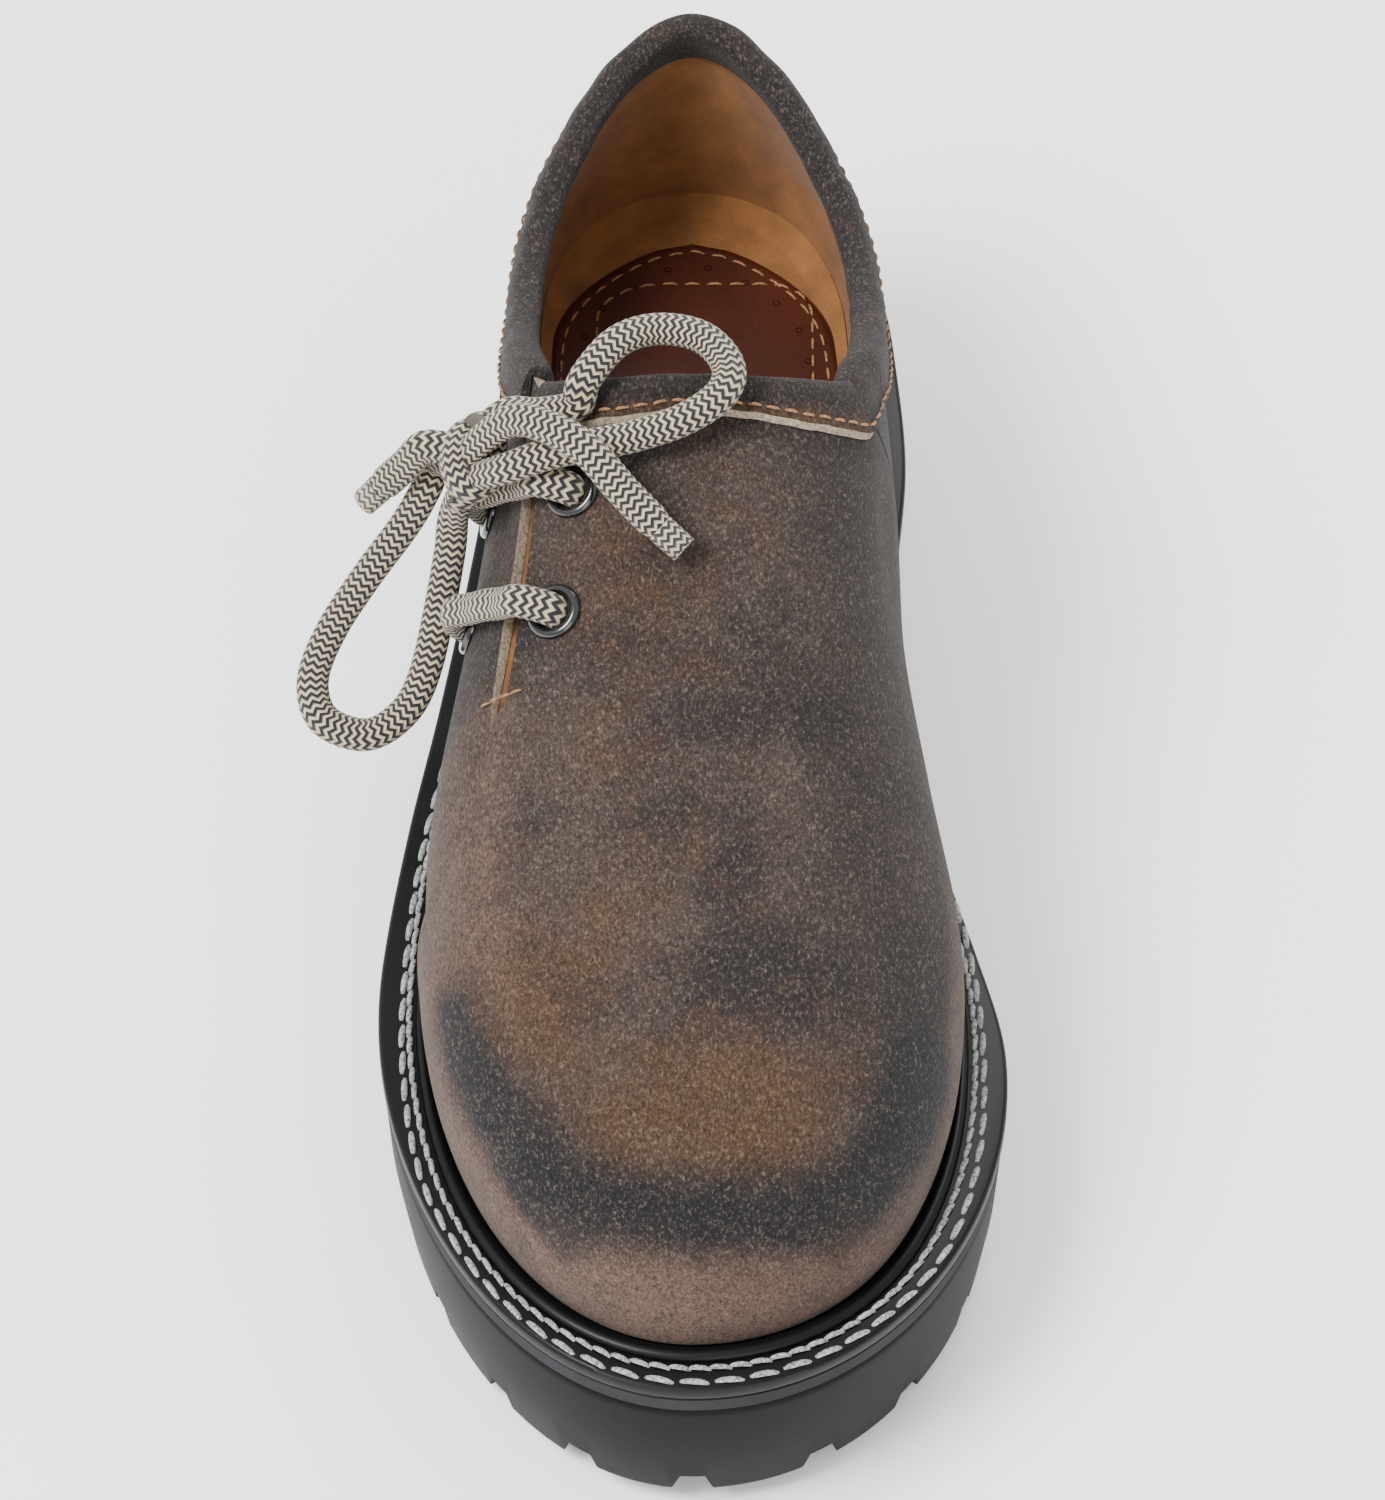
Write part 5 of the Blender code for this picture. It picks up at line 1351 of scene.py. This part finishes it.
class SHOE_OT_collar(ShoeOperator, bpy.types.Operator):
    """Add the padded suede collar with its raw lower edge and its stitches"""

    bl_idname = "shoe.collar"
    bl_label = "Collar"

    def execute(self, context):
        sizes = context.scene.shoe_sizes
        ring = collar_ring()
        station, turn = ring[0], ring[1]
        count = len(station)
        inner_face = -WALL - COLLAR_SEAT
        width = COLLAR_OUTSIDE * collar_width(turn)
        wobble = np.sin(np.arange(count) * 0.31) * 0.12 + np.sin(np.arange(count) * 0.83 + 1.0) * 0.08
        width = width + wobble * MM
        one = np.ones(count)
        leaf = COLLAR_LEAF

        def outside(share):
            return width * share

        control = [
            (outside(1.0) - 0.7 * MM, one * (COLLAR_SEAT + leaf * 1.15)),
            (outside(0.82), one * (COLLAR_SEAT + leaf * 1.35)),
            (outside(0.60), one * (COLLAR_SEAT + leaf * 1.25)),
            (outside(0.35), one * (COLLAR_SEAT + leaf * 1.45)),
            (one * 0.0011, one * (COLLAR_SEAT + leaf * 1.35)),
            (one * -COLLAR_CROWN * 0.62, one * leaf * 0.85),
            (one * -COLLAR_CROWN, one * -WALL / 2),
            (one * -COLLAR_CROWN * 0.72, one * (inner_face - COLLAR_PAD * 0.55)),
            (one * 0.0006, one * (inner_face - COLLAR_PAD)),
            (one * COLLAR_INSIDE * 0.6, one * (inner_face - COLLAR_PAD * 0.85)),
            (one * COLLAR_INSIDE, one * (inner_face - leaf * 0.6)),
        ]
        stack = np.stack([np.stack(pair, axis=1) for pair in control])
        fine = []
        steps = 5
        for index in range(len(stack) - 1):
            before, start = stack[max(index - 1, 0)], stack[index]
            end, after = stack[index + 1], stack[min(index + 2, len(stack) - 1)]
            fine += [hermite(start, end, (end - before) / 2, (after - start) / 2, step / steps)
                     for step in range(steps)]
        fine.append(stack[-1])
        hidden = [
            (one * COLLAR_INSIDE, one * inner_face), (one * -COLLAR_SEAT, one * inner_face),
            (one * -COLLAR_SEAT, one * COLLAR_SEAT), (outside(1.0) + 0.25 * MM, one * COLLAR_SEAT),
        ]
        levels = [(pair[:, 0], pair[:, 1]) for pair in fine] + hidden
        rows = [collar_point(ring, distance, offset) for distance, offset in levels]
        points = np.stack(rows, axis=1)
        size = len(levels)
        # Soft lumps of the padding, up to 0.3 mm
        at = np.arange(count)[:, None] / count * 2 * math.pi
        lumps = np.sin(at * 17 + 1.0) * np.sin(at * 5) * 0.22 + np.sin(at * 31) * 0.08
        visible = np.clip(np.sin(np.linspace(0, math.pi, len(fine))), 0, 1)
        points[:, :len(fine)] += ring[3][:, None, :] * (lumps * visible[None, :])[..., None] * MM
        faces = ring_faces(count, size)
        kinds = np.where(faces[:, 0] % size == size - 1, 1, 0)
        collar = add_piece("collar_band", points.reshape(-1, 3), faces,
                           [material_of("collar"), material_of("raw")], kinds, replaces=("collar",),
                           weld=1e-6, soft_angle=60)
        flat = points.reshape(-1, 3)
        front = np.repeat(((station > 0.386) & (np.abs(turn) < COLLAR_CORNER)).astype(float), size)
        places = np.tile(np.arange(size), count)
        warm = front * np.exp(-((places - 2.0) / 9.0) ** 2) * 1.0
        grey = np.where(front > 0, 0.45, 0.8)
        tones = np.stack([np.full(len(flat), 0.0), warm, np.zeros(len(flat)), grey], axis=1)
        if len(collar.data.vertices) == len(flat):
            set_tone(collar, "tone", tones)
        else:
            raise RuntimeError("the collar lost points while it was welded")

        slit = np.linspace(0.330, SLIT_END, 50)
        middle = smooth_curve(SLIT_LINE, slit)
        step = smooth_curve(SLIT_LINE, slit + 0.01) - smooth_curve(SLIT_LINE, slit - 0.01)
        run = skin(slit + 0.01, middle + step / 2) - skin(slit - 0.01, middle - step / 2)
        sideways = unit(np.cross(skin_normal(slit, middle), run)) * SLIT_WIDTH / 2
        left = slide(slit, middle, sideways)
        right = slide(slit, middle, -sideways)
        reach = 11 * MM
        corners = [skin_offset(*left, reach * np.ones(50)), skin_offset(*right, reach * np.ones(50)),
                   skin_offset(*right, -reach * np.ones(50)), skin_offset(*left, -reach * np.ones(50))]
        guide_points = np.stack(corners, axis=1).reshape(-1, 3)
        guide_faces = ring_faces(50, 4, closed=False).tolist() + [(3, 2, 1, 0), (196, 197, 198, 199)]
        cut_away(collar, [add_guide("slit_guide", guide_points, guide_faces)], 60)

        line = collar_point(ring, width - 2.2 * MM, COLLAR_SEAT + leaf * 1.45)
        rolled = np.roll(np.arange(count), -3)
        lower = rolled[:-8]
        row = stitch_mesh(line[lower], ring[3][lower], sizes.collar_stitch, sizes.collar_stitch * 0.72,
                          0.32 * MM)
        add_stitches("collar_stitches", [row], material_of("thread_tan"))
        return {"FINISHED"}


class SHOE_OT_tongue(ShoeOperator, bpy.types.Operator):
    """Add the tan gusset under the slit"""

    bl_idname = "shoe.tongue"
    bl_label = "Tongue"

    def execute(self, context):
        rows, columns = 60, 60
        share, turn = np.meshgrid(np.linspace(0, 1, rows), np.linspace(-0.600, -0.03, columns), indexing="ij")
        top = 0.403 + 0.030 * smooth((-0.30 - turn) / 0.20) + 0.012 * smooth((turn + 0.10) / 0.07)
        end = 0.632 - 0.030 * smooth((turn + 0.26) / 0.23)
        station = blend(top, end, share)
        clear = -WALL - GAP
        near_edge = 1.0 - smooth((edge_distance(station, turn) - 0.0115) / 0.008)
        low = -WALL - COLLAR_SEAT - COLLAR_PAD - GAP
        outer_offset = clear + (low - clear) * near_edge
        outer = skin_offset(station, turn, outer_offset).reshape(-1, 3)
        inner = skin_offset(station, turn, outer_offset - TONGUE_THICK).reshape(-1, 3)
        points, faces, kinds = shell(outer, inner, grid_faces(rows, columns).tolist())
        add_piece("tongue_gusset", points, faces, [material_of("gusset"), material_of("lining"),
                                                   material_of("raw")], kinds, replaces=("tongue",),
                  soft_angle=50)
        return {"FINISHED"}


class SHOE_OT_eyelets(ShoeOperator, bpy.types.Operator):
    """Add the four enamelled eyelets"""

    bl_idname = "shoe.eyelets"
    bl_label = "Eyelets"

    def execute(self, context):
        angles = np.linspace(0, 2 * math.pi, 18)
        crown = [((EYELET_FLANGE + EYELET_BORE) / 2 + math.cos(a) * (EYELET_FLANGE - EYELET_BORE) / 2,
                  GAP + math.sin(a) * EYELET_PROUD) for a in angles[:10]]
        profile = np.array([(EYELET_BORE + 0.5 * MM, -WALL + GAP), (EYELET_BORE + 0.5 * MM, GAP)] + crown
                           + [(EYELET_BORE, -WALL + GAP)])
        segments = 48
        for name in EYELETS:
            middle, side, up, out = eyelet_frame(name)
            turn = np.linspace(0, 2 * math.pi, segments, endpoint=False)
            radial = np.outer(np.cos(turn), side) + np.outer(np.sin(turn), up)
            points = middle + radial[:, None] * profile[None, :, :1] + out * profile[None, :, 1:]
            points = points.reshape(-1, 3)
            add_piece(name + "_ring", points, ring_faces(segments, len(profile)), [material_of("enamel")],
                      replaces=(name,), weld=1e-7, soft_angle=40)
        return {"FINISHED"}


class SHOE_OT_sock(ShoeOperator, bpy.types.Operator):
    """Add the lining of the seat and the smooth leather sock with its stitches and holes"""

    bl_idname = "shoe.sock"
    bl_label = "Sock"

    def execute(self, context):
        sizes = context.scene.shoe_sizes
        board = inset(feather_outline(240), WALL + 2 * GAP)
        points, faces = slab_mesh([(board, WELT_UNDER), (inset(board, -0.5 * MM), 0.5 * MM),
                                   (inset(board, -0.9 * MM), 3.2 * MM), (inset(board, 0.4 * MM), 2.4 * MM),
                                   (inset(board, 1.8 * MM), 0.9 * MM), (inset(board, 3.6 * MM), 0.25 * MM)])
        add_piece("seat_lining", points, faces, [material_of("lining")], replaces=("insole",),
                  soft_angle=40)
        back_y, length = 0.1315, 0.034
        narrow = rounded_end(back_y - board[:, 1], length, 2.2)
        inside = board[:, 1] < back_y
        sock = board[inside]
        sock = np.column_stack([sock[:, 0] * narrow[inside], sock[:, 1]])
        sock = sock[np.argsort(sock[:, 1])]
        toe, heel = (0.0, sock[0, 1]), (0.0, back_y)
        left = resample(np.vstack([toe, sock[sock[:, 0] < 0], heel]), 121)[:-1]
        right = resample(np.vstack([heel, sock[sock[:, 0] > 0][::-1], toe]), 121)[:-1]
        outline = inset(np.vstack([left, right]), 1.0 * MM)
        levels = [(outline, 0.2 * MM), (outline, 1.1 * MM), (inset(outline, 0.5 * MM), 1.5 * MM),
                  (inset(outline, 1.4 * MM), 1.6 * MM)]
        points, faces = slab_mesh(levels)
        add_piece("leather_sock", points, faces, [material_of("sock")], soft_angle=40)

        up = np.tile((0.0, 0.0, 1.0), (240, 1))
        rows = []
        visible = slice(62, 182)
        outer_line = on_level(inset(outline, 2.4 * MM), 1.65 * MM)
        rows.append(stitch_mesh(outer_line[visible], up[visible], sizes.sock_stitch, sizes.sock_stitch * 0.68,
                                0.30 * MM))
        corner = 9.0 * MM
        left_x, right_x, top_y, low_y = -0.0195, 0.0245, 0.1190, 0.030
        arc = np.linspace(0, math.pi / 2, 12)
        bend = [(left_x + (1 - math.cos(a)) * corner * 1.6, top_y - (1 - math.sin(a)) * corner * 1.1)
                for a in arc]
        bend += [(right_x - (1 - math.sin(a)) * corner, top_y - (1 - math.cos(a)) * corner) for a in arc]
        inner_plan = resample(np.vstack([[(left_x, low_y)], bend, [(right_x, low_y)]]), 160)
        inner_line = on_level(inner_plan, 1.65 * MM)
        rows.append(stitch_mesh(inner_line, np.tile((0.0, 0.0, 1.0), (160, 1)), sizes.sock_stitch,
                                sizes.sock_stitch * 0.68, 0.30 * MM))
        add_stitches("sock_stitches", rows, material_of("thread_tan"))

        # The holes are small cups whose near-black colour is painted shade inside them.
        hole_line = resample(on_level(inset(outline, 6.2 * MM), 1.64 * MM)[visible], 400)
        along = arc_lengths(hole_line)
        points, faces = [], []
        sides = 14
        for number in range(int(along[-1] / (8.6 * MM))):
            at = (number + 0.5) * 8.6 * MM
            middle = np.array([np.interp(at, along, hole_line[:, axis]) for axis in range(3)])
            base = len(points)
            angle = np.linspace(0, 2 * math.pi, sides, endpoint=False)
            for radius, height in ((0.75, -0.9), (0.75, 0.0), (0.55, 0.02), (0.45, -0.5)):
                circle = np.column_stack([np.cos(angle), np.sin(angle), angle * 0]) * radius * MM
                points += list(middle + circle + np.array([0, 0, height * MM]))
            faces += (ring_faces(4, sides, closed=False) + base).tolist()
            faces.append(list(range(base + 3 * sides, base + 4 * sides)))
            faces.append(list(range(base + sides - 1, base - 1, -1)))
        add_piece("sock_holes", points, faces, [material_of("hole")], soft_angle=40)
        return {"FINISHED"}


class SHOE_OT_welt(ShoeOperator, bpy.types.Operator):
    """Add the welt with its rounded rib and its two rows of stitches"""

    bl_idname = "shoe.welt"
    bl_label = "Welt"

    def execute(self, context):
        sizes = context.scene.shoe_sizes
        count = 480
        edge, feather = sole_outline(count), feather_outline(count)
        margin = np.linalg.norm(feather[:, None] - edge[None, :], axis=2).min(axis=1)
        toe = smooth((-0.052 - feather[:, 1]) / 0.085)
        rib = np.minimum(blend(2.0 * MM, 3.5 * MM, toe), margin * 0.40)
        seat = 0.45 * MM
        levels = [
            (inset(edge, 0.7 * MM), WELT_UNDER), (inset(edge, 0.15 * MM), WELT_UNDER + 0.3 * MM),
            (edge, WELT_UNDER + 0.8 * MM), (edge, -GAP - 1.0 * MM), (inset(edge, 0.2 * MM), -GAP - 0.35 * MM),
            (inset(edge, 0.9 * MM), -GAP),
        ]
        middle_start = -(seat + rib + 0.5 * MM)
        levels.append((inset(feather, middle_start), -GAP - 0.15 * MM))
        for angle in np.linspace(0.0, math.pi, 11):
            reach = seat + rib / 2 + np.cos(angle) * rib / 2
            levels.append((inset(feather, -reach), -GAP + math.sin(angle) * 1.5 * MM - 0.15 * MM))
        levels += [(inset(feather, -seat), -GAP - 0.6 * MM), (inset(feather, WALL), -GAP - 0.6 * MM),
                   (inset(feather, WALL), WELT_UNDER)]
        points = np.vstack([on_level(outline, level) for outline, level in levels])
        # Rings follow each other round the section, so the faces between them close it.
        faces = ring_faces(len(levels), count)
        add_piece("welt_strip", points, faces, [material_of("welt")], replaces=("welt",),
                  soft_angle=50, weld=1e-7)
        inner_at = np.minimum(blend(3.6 * MM, 5.4 * MM, toe), margin * 0.55)
        outer_at = np.minimum(blend(4.8 * MM, 8.9 * MM, toe), margin * 0.84)
        up = np.tile((0.0, 0.0, 1.0), (count, 1))
        start, stop = 128, 352

        def open_row(distance, begin, end):
            line = on_level(inset(feather, -distance), -GAP + 0.12 * MM)
            order = np.concatenate([np.arange(end, count), np.arange(0, begin)])
            return line[order], up[order]

        line, normals = open_row(inner_at, start, stop)
        chain = stitch_mesh(line, normals, sizes.chain_stitch, sizes.chain_stitch * 1.08, 0.55 * MM,
                            0.5 * MM, 0.5)
        line, normals = open_row(outer_at, start, stop)
        dashes = stitch_mesh(line, normals, sizes.welt_stitch, sizes.welt_stitch * 0.84, 0.62 * MM,
                             0.45 * MM, 0.5)
        add_stitches("welt_stitches", [chain, dashes], material_of("thread_pale"))
        return {"FINISHED"}


class SHOE_OT_sole(ShoeOperator, bpy.types.Operator):
    """Add the grey midsole edge and the moulded outsole with its lugs"""

    bl_idname = "shoe.sole"
    bl_label = "Sole"

    def execute(self, context):
        count = 360
        edge = sole_outline(count)
        levels = [
            (inset(edge, 1.0 * MM), MIDSOLE_UNDER), (inset(edge, 0.35 * MM), MIDSOLE_UNDER + 0.25 * MM),
            (inset(edge, 0.3 * MM), WELT_UNDER - GAP - 0.25 * MM), (inset(edge, 1.0 * MM), WELT_UNDER - GAP),
        ]
        points, faces = slab_mesh(levels)
        add_piece("midsole_layer", points, faces, [material_of("midsole")], replaces=("midsole",),
                  soft_angle=40)

        def between(share):
            return lambda y: blend(toe_spring(y), seat_height(y) + OUTSOLE_TOP, share)

        levels = [
            (inset(edge, SOLE_TAPER + 1.2 * MM), toe_spring),
            (inset(edge, SOLE_TAPER + 0.35 * MM), lambda y: toe_spring(y) + 0.35 * MM),
            (inset(edge, SOLE_TAPER), lambda y: toe_spring(y) + 1.2 * MM),
            (inset(edge, SOLE_TAPER * 0.45), between(0.45)),
            (inset(edge, 0.5 * MM), between(0.93)),
            (inset(edge, 0.7 * MM), between(0.97)),
            (inset(edge, 1.4 * MM), between(1.0)),
        ]
        points, faces = slab_mesh(levels)
        outsole = add_piece("outsole_unit", points, faces, [material_of("outsole")], replaces=("outsole",),
                            soft_angle=32, weld=1e-7)

        breast = HEEL_Y - HEEL_BLOCK
        below = -ARCH_RISE / 2
        profile = [(breast, below), (breast - BREAST_ROUND / 4, ARCH_RISE * 0.75)]
        for share in np.linspace(0.0, 1.0, 18):
            y = breast - BREAST_ROUND - share * (ARCH_LENGTH - BREAST_ROUND)
            profile.append((y, float(blend(ARCH_RISE, -GAP, smooth(share)))))
        profile.append((breast - ARCH_LENGTH, below))
        size = len(profile)
        arch_points = [(side * OUTSOLE_WIDTH, y, z) for side in (-1, 1) for y, z in profile]
        arch_faces = ring_faces(2, size, closed=False).tolist()
        arch_faces += [tuple(range(size)), tuple(range(size, 2 * size))]
        guides = [add_guide("arch_guide", arch_points, arch_faces)]

        bars_points, bars_faces = [], []

        def add_bar(middle, angle, length):
            ahead = np.array([math.cos(angle), math.sin(angle), 0.0])
            beside = np.array([-math.sin(angle), math.cos(angle), 0.0])
            base = len(bars_points)
            spring = float(toe_spring(middle[1]))
            for end in (-1, 1):
                for width, height in ((1.5, -3.0), (1.28, 0.0), (0.74, 1.0)):
                    for side in (-1, 1):
                        point = np.array([middle[0], middle[1], spring + height * LUG_DEPTH])
                        bars_points.append(point + ahead * end * length / 2
                                           + beside * side * width * LUG_GROOVE / 2)
            loop = [0, 2, 4, 5, 3, 1]
            for a, b in zip(loop, loop[1:] + loop[:1]):
                bars_faces.append((base + a, base + b, base + 6 + b, base + 6 + a))
            bars_faces.append(tuple(base + corner for corner in loop))
            bars_faces.append(tuple(base + 6 + corner for corner in reversed(loop)))

        for at, degrees in EDGE_GROOVES:
            y = HEEL_Y - at * OUTSOLE_LENGTH
            for side in (-1, 1):
                angle = side * math.radians(degrees)
                outwards = np.array([side * math.cos(angle), side * math.sin(angle)])
                rim = np.array([side * float(sole_half(y, side)), y])
                inner, outer = rim - outwards * EDGE_GROOVE, rim + outwards * 5 * MM
                middle = (inner + outer) / 2
                add_bar(middle, angle, float(np.linalg.norm(outer - inner)))
        for at in CENTRE_GROOVES:
            y = HEEL_Y - at * OUTSOLE_LENGTH
            half = min(float(sole_half(y, -1)), float(sole_half(y, 1))) - EDGE_GROOVE - CENTRE_LAND
            add_bar(np.array([0.0, y]), 0.0, 2 * half)
        add_bar(np.array([0.0, TOE_Y]), math.pi / 2, EDGE_GROOVE)
        guides.append(add_guide("lug_guide", bars_points, bars_faces))
        cut_away(outsole, guides, 32)
        return {"FINISHED"}


class SHOE_OT_stitching(ShoeOperator, bpy.types.Operator):
    """Add the bar tack at the slit's end"""

    bl_idname = "shoe.stitching"
    bl_label = "Small stitching"

    def execute(self, context):
        rows = []

        def seam(stations, turns, lift, pitch, length, radius):
            route = skin_offset(np.array(stations), np.array(turns), np.full(len(stations), lift))
            line = resample(route, 40)
            around = skin_normal(np.interp(np.linspace(0, 1, 40), np.linspace(0, 1, len(stations)), stations),
                                 np.interp(np.linspace(0, 1, 40), np.linspace(0, 1, len(turns)), turns))
            rows.append(stitch_mesh(line, around, pitch, length, radius))

        seam((0.5915, 0.589, 0.586), (-0.345, -0.42, -0.50), 0.1 * MM, 2.6 * MM, 2.5 * MM, 0.28 * MM)
        add_stitches("bar_tack", rows, material_of("thread_tan"))
        return {"FINISHED"}


class SHOE_PT_panel(bpy.types.Panel):
    """Panel with the shoe's sizes, colours and pieces"""

    bl_label = "Haferl shoe"
    bl_idname = "SHOE_PT_panel"
    bl_space_type = "VIEW_3D"
    bl_region_type = "UI"
    bl_category = "Shoe"

    def draw(self, context):
        layout = self.layout
        for group in (context.scene.shoe_sizes, context.scene.shoe_colours):
            box = layout.box()
            for name in group.__annotations__:
                box.prop(group, name)
        for operator in OPERATORS:
            layout.operator(operator.bl_idname)


OPERATORS = (SHOE_OT_stage, SHOE_OT_laces, SHOE_OT_upper, SHOE_OT_collar, SHOE_OT_tongue, SHOE_OT_eyelets,
             SHOE_OT_sock, SHOE_OT_welt, SHOE_OT_sole, SHOE_OT_stitching)
CLASSES = (ShoeSizes, ShoeColours, *OPERATORS, SHOE_PT_panel)


def register():
    """Register the classes and their properties."""
    for item in CLASSES:
        bpy.utils.register_class(item)
    bpy.types.Scene.shoe_sizes = PointerProperty(type=ShoeSizes)
    bpy.types.Scene.shoe_colours = PointerProperty(type=ShoeColours)


def unregister():
    """Remove the classes and their properties."""
    del bpy.types.Scene.shoe_colours
    del bpy.types.Scene.shoe_sizes
    for item in reversed(CLASSES):
        bpy.utils.unregister_class(item)


def main():
    """Build the whole scene."""
    register()
    for operator in OPERATORS:
        group, name = operator.bl_idname.split(".")
        getattr(getattr(bpy.ops, group), name)()


if __name__ == "__main__":
    main()
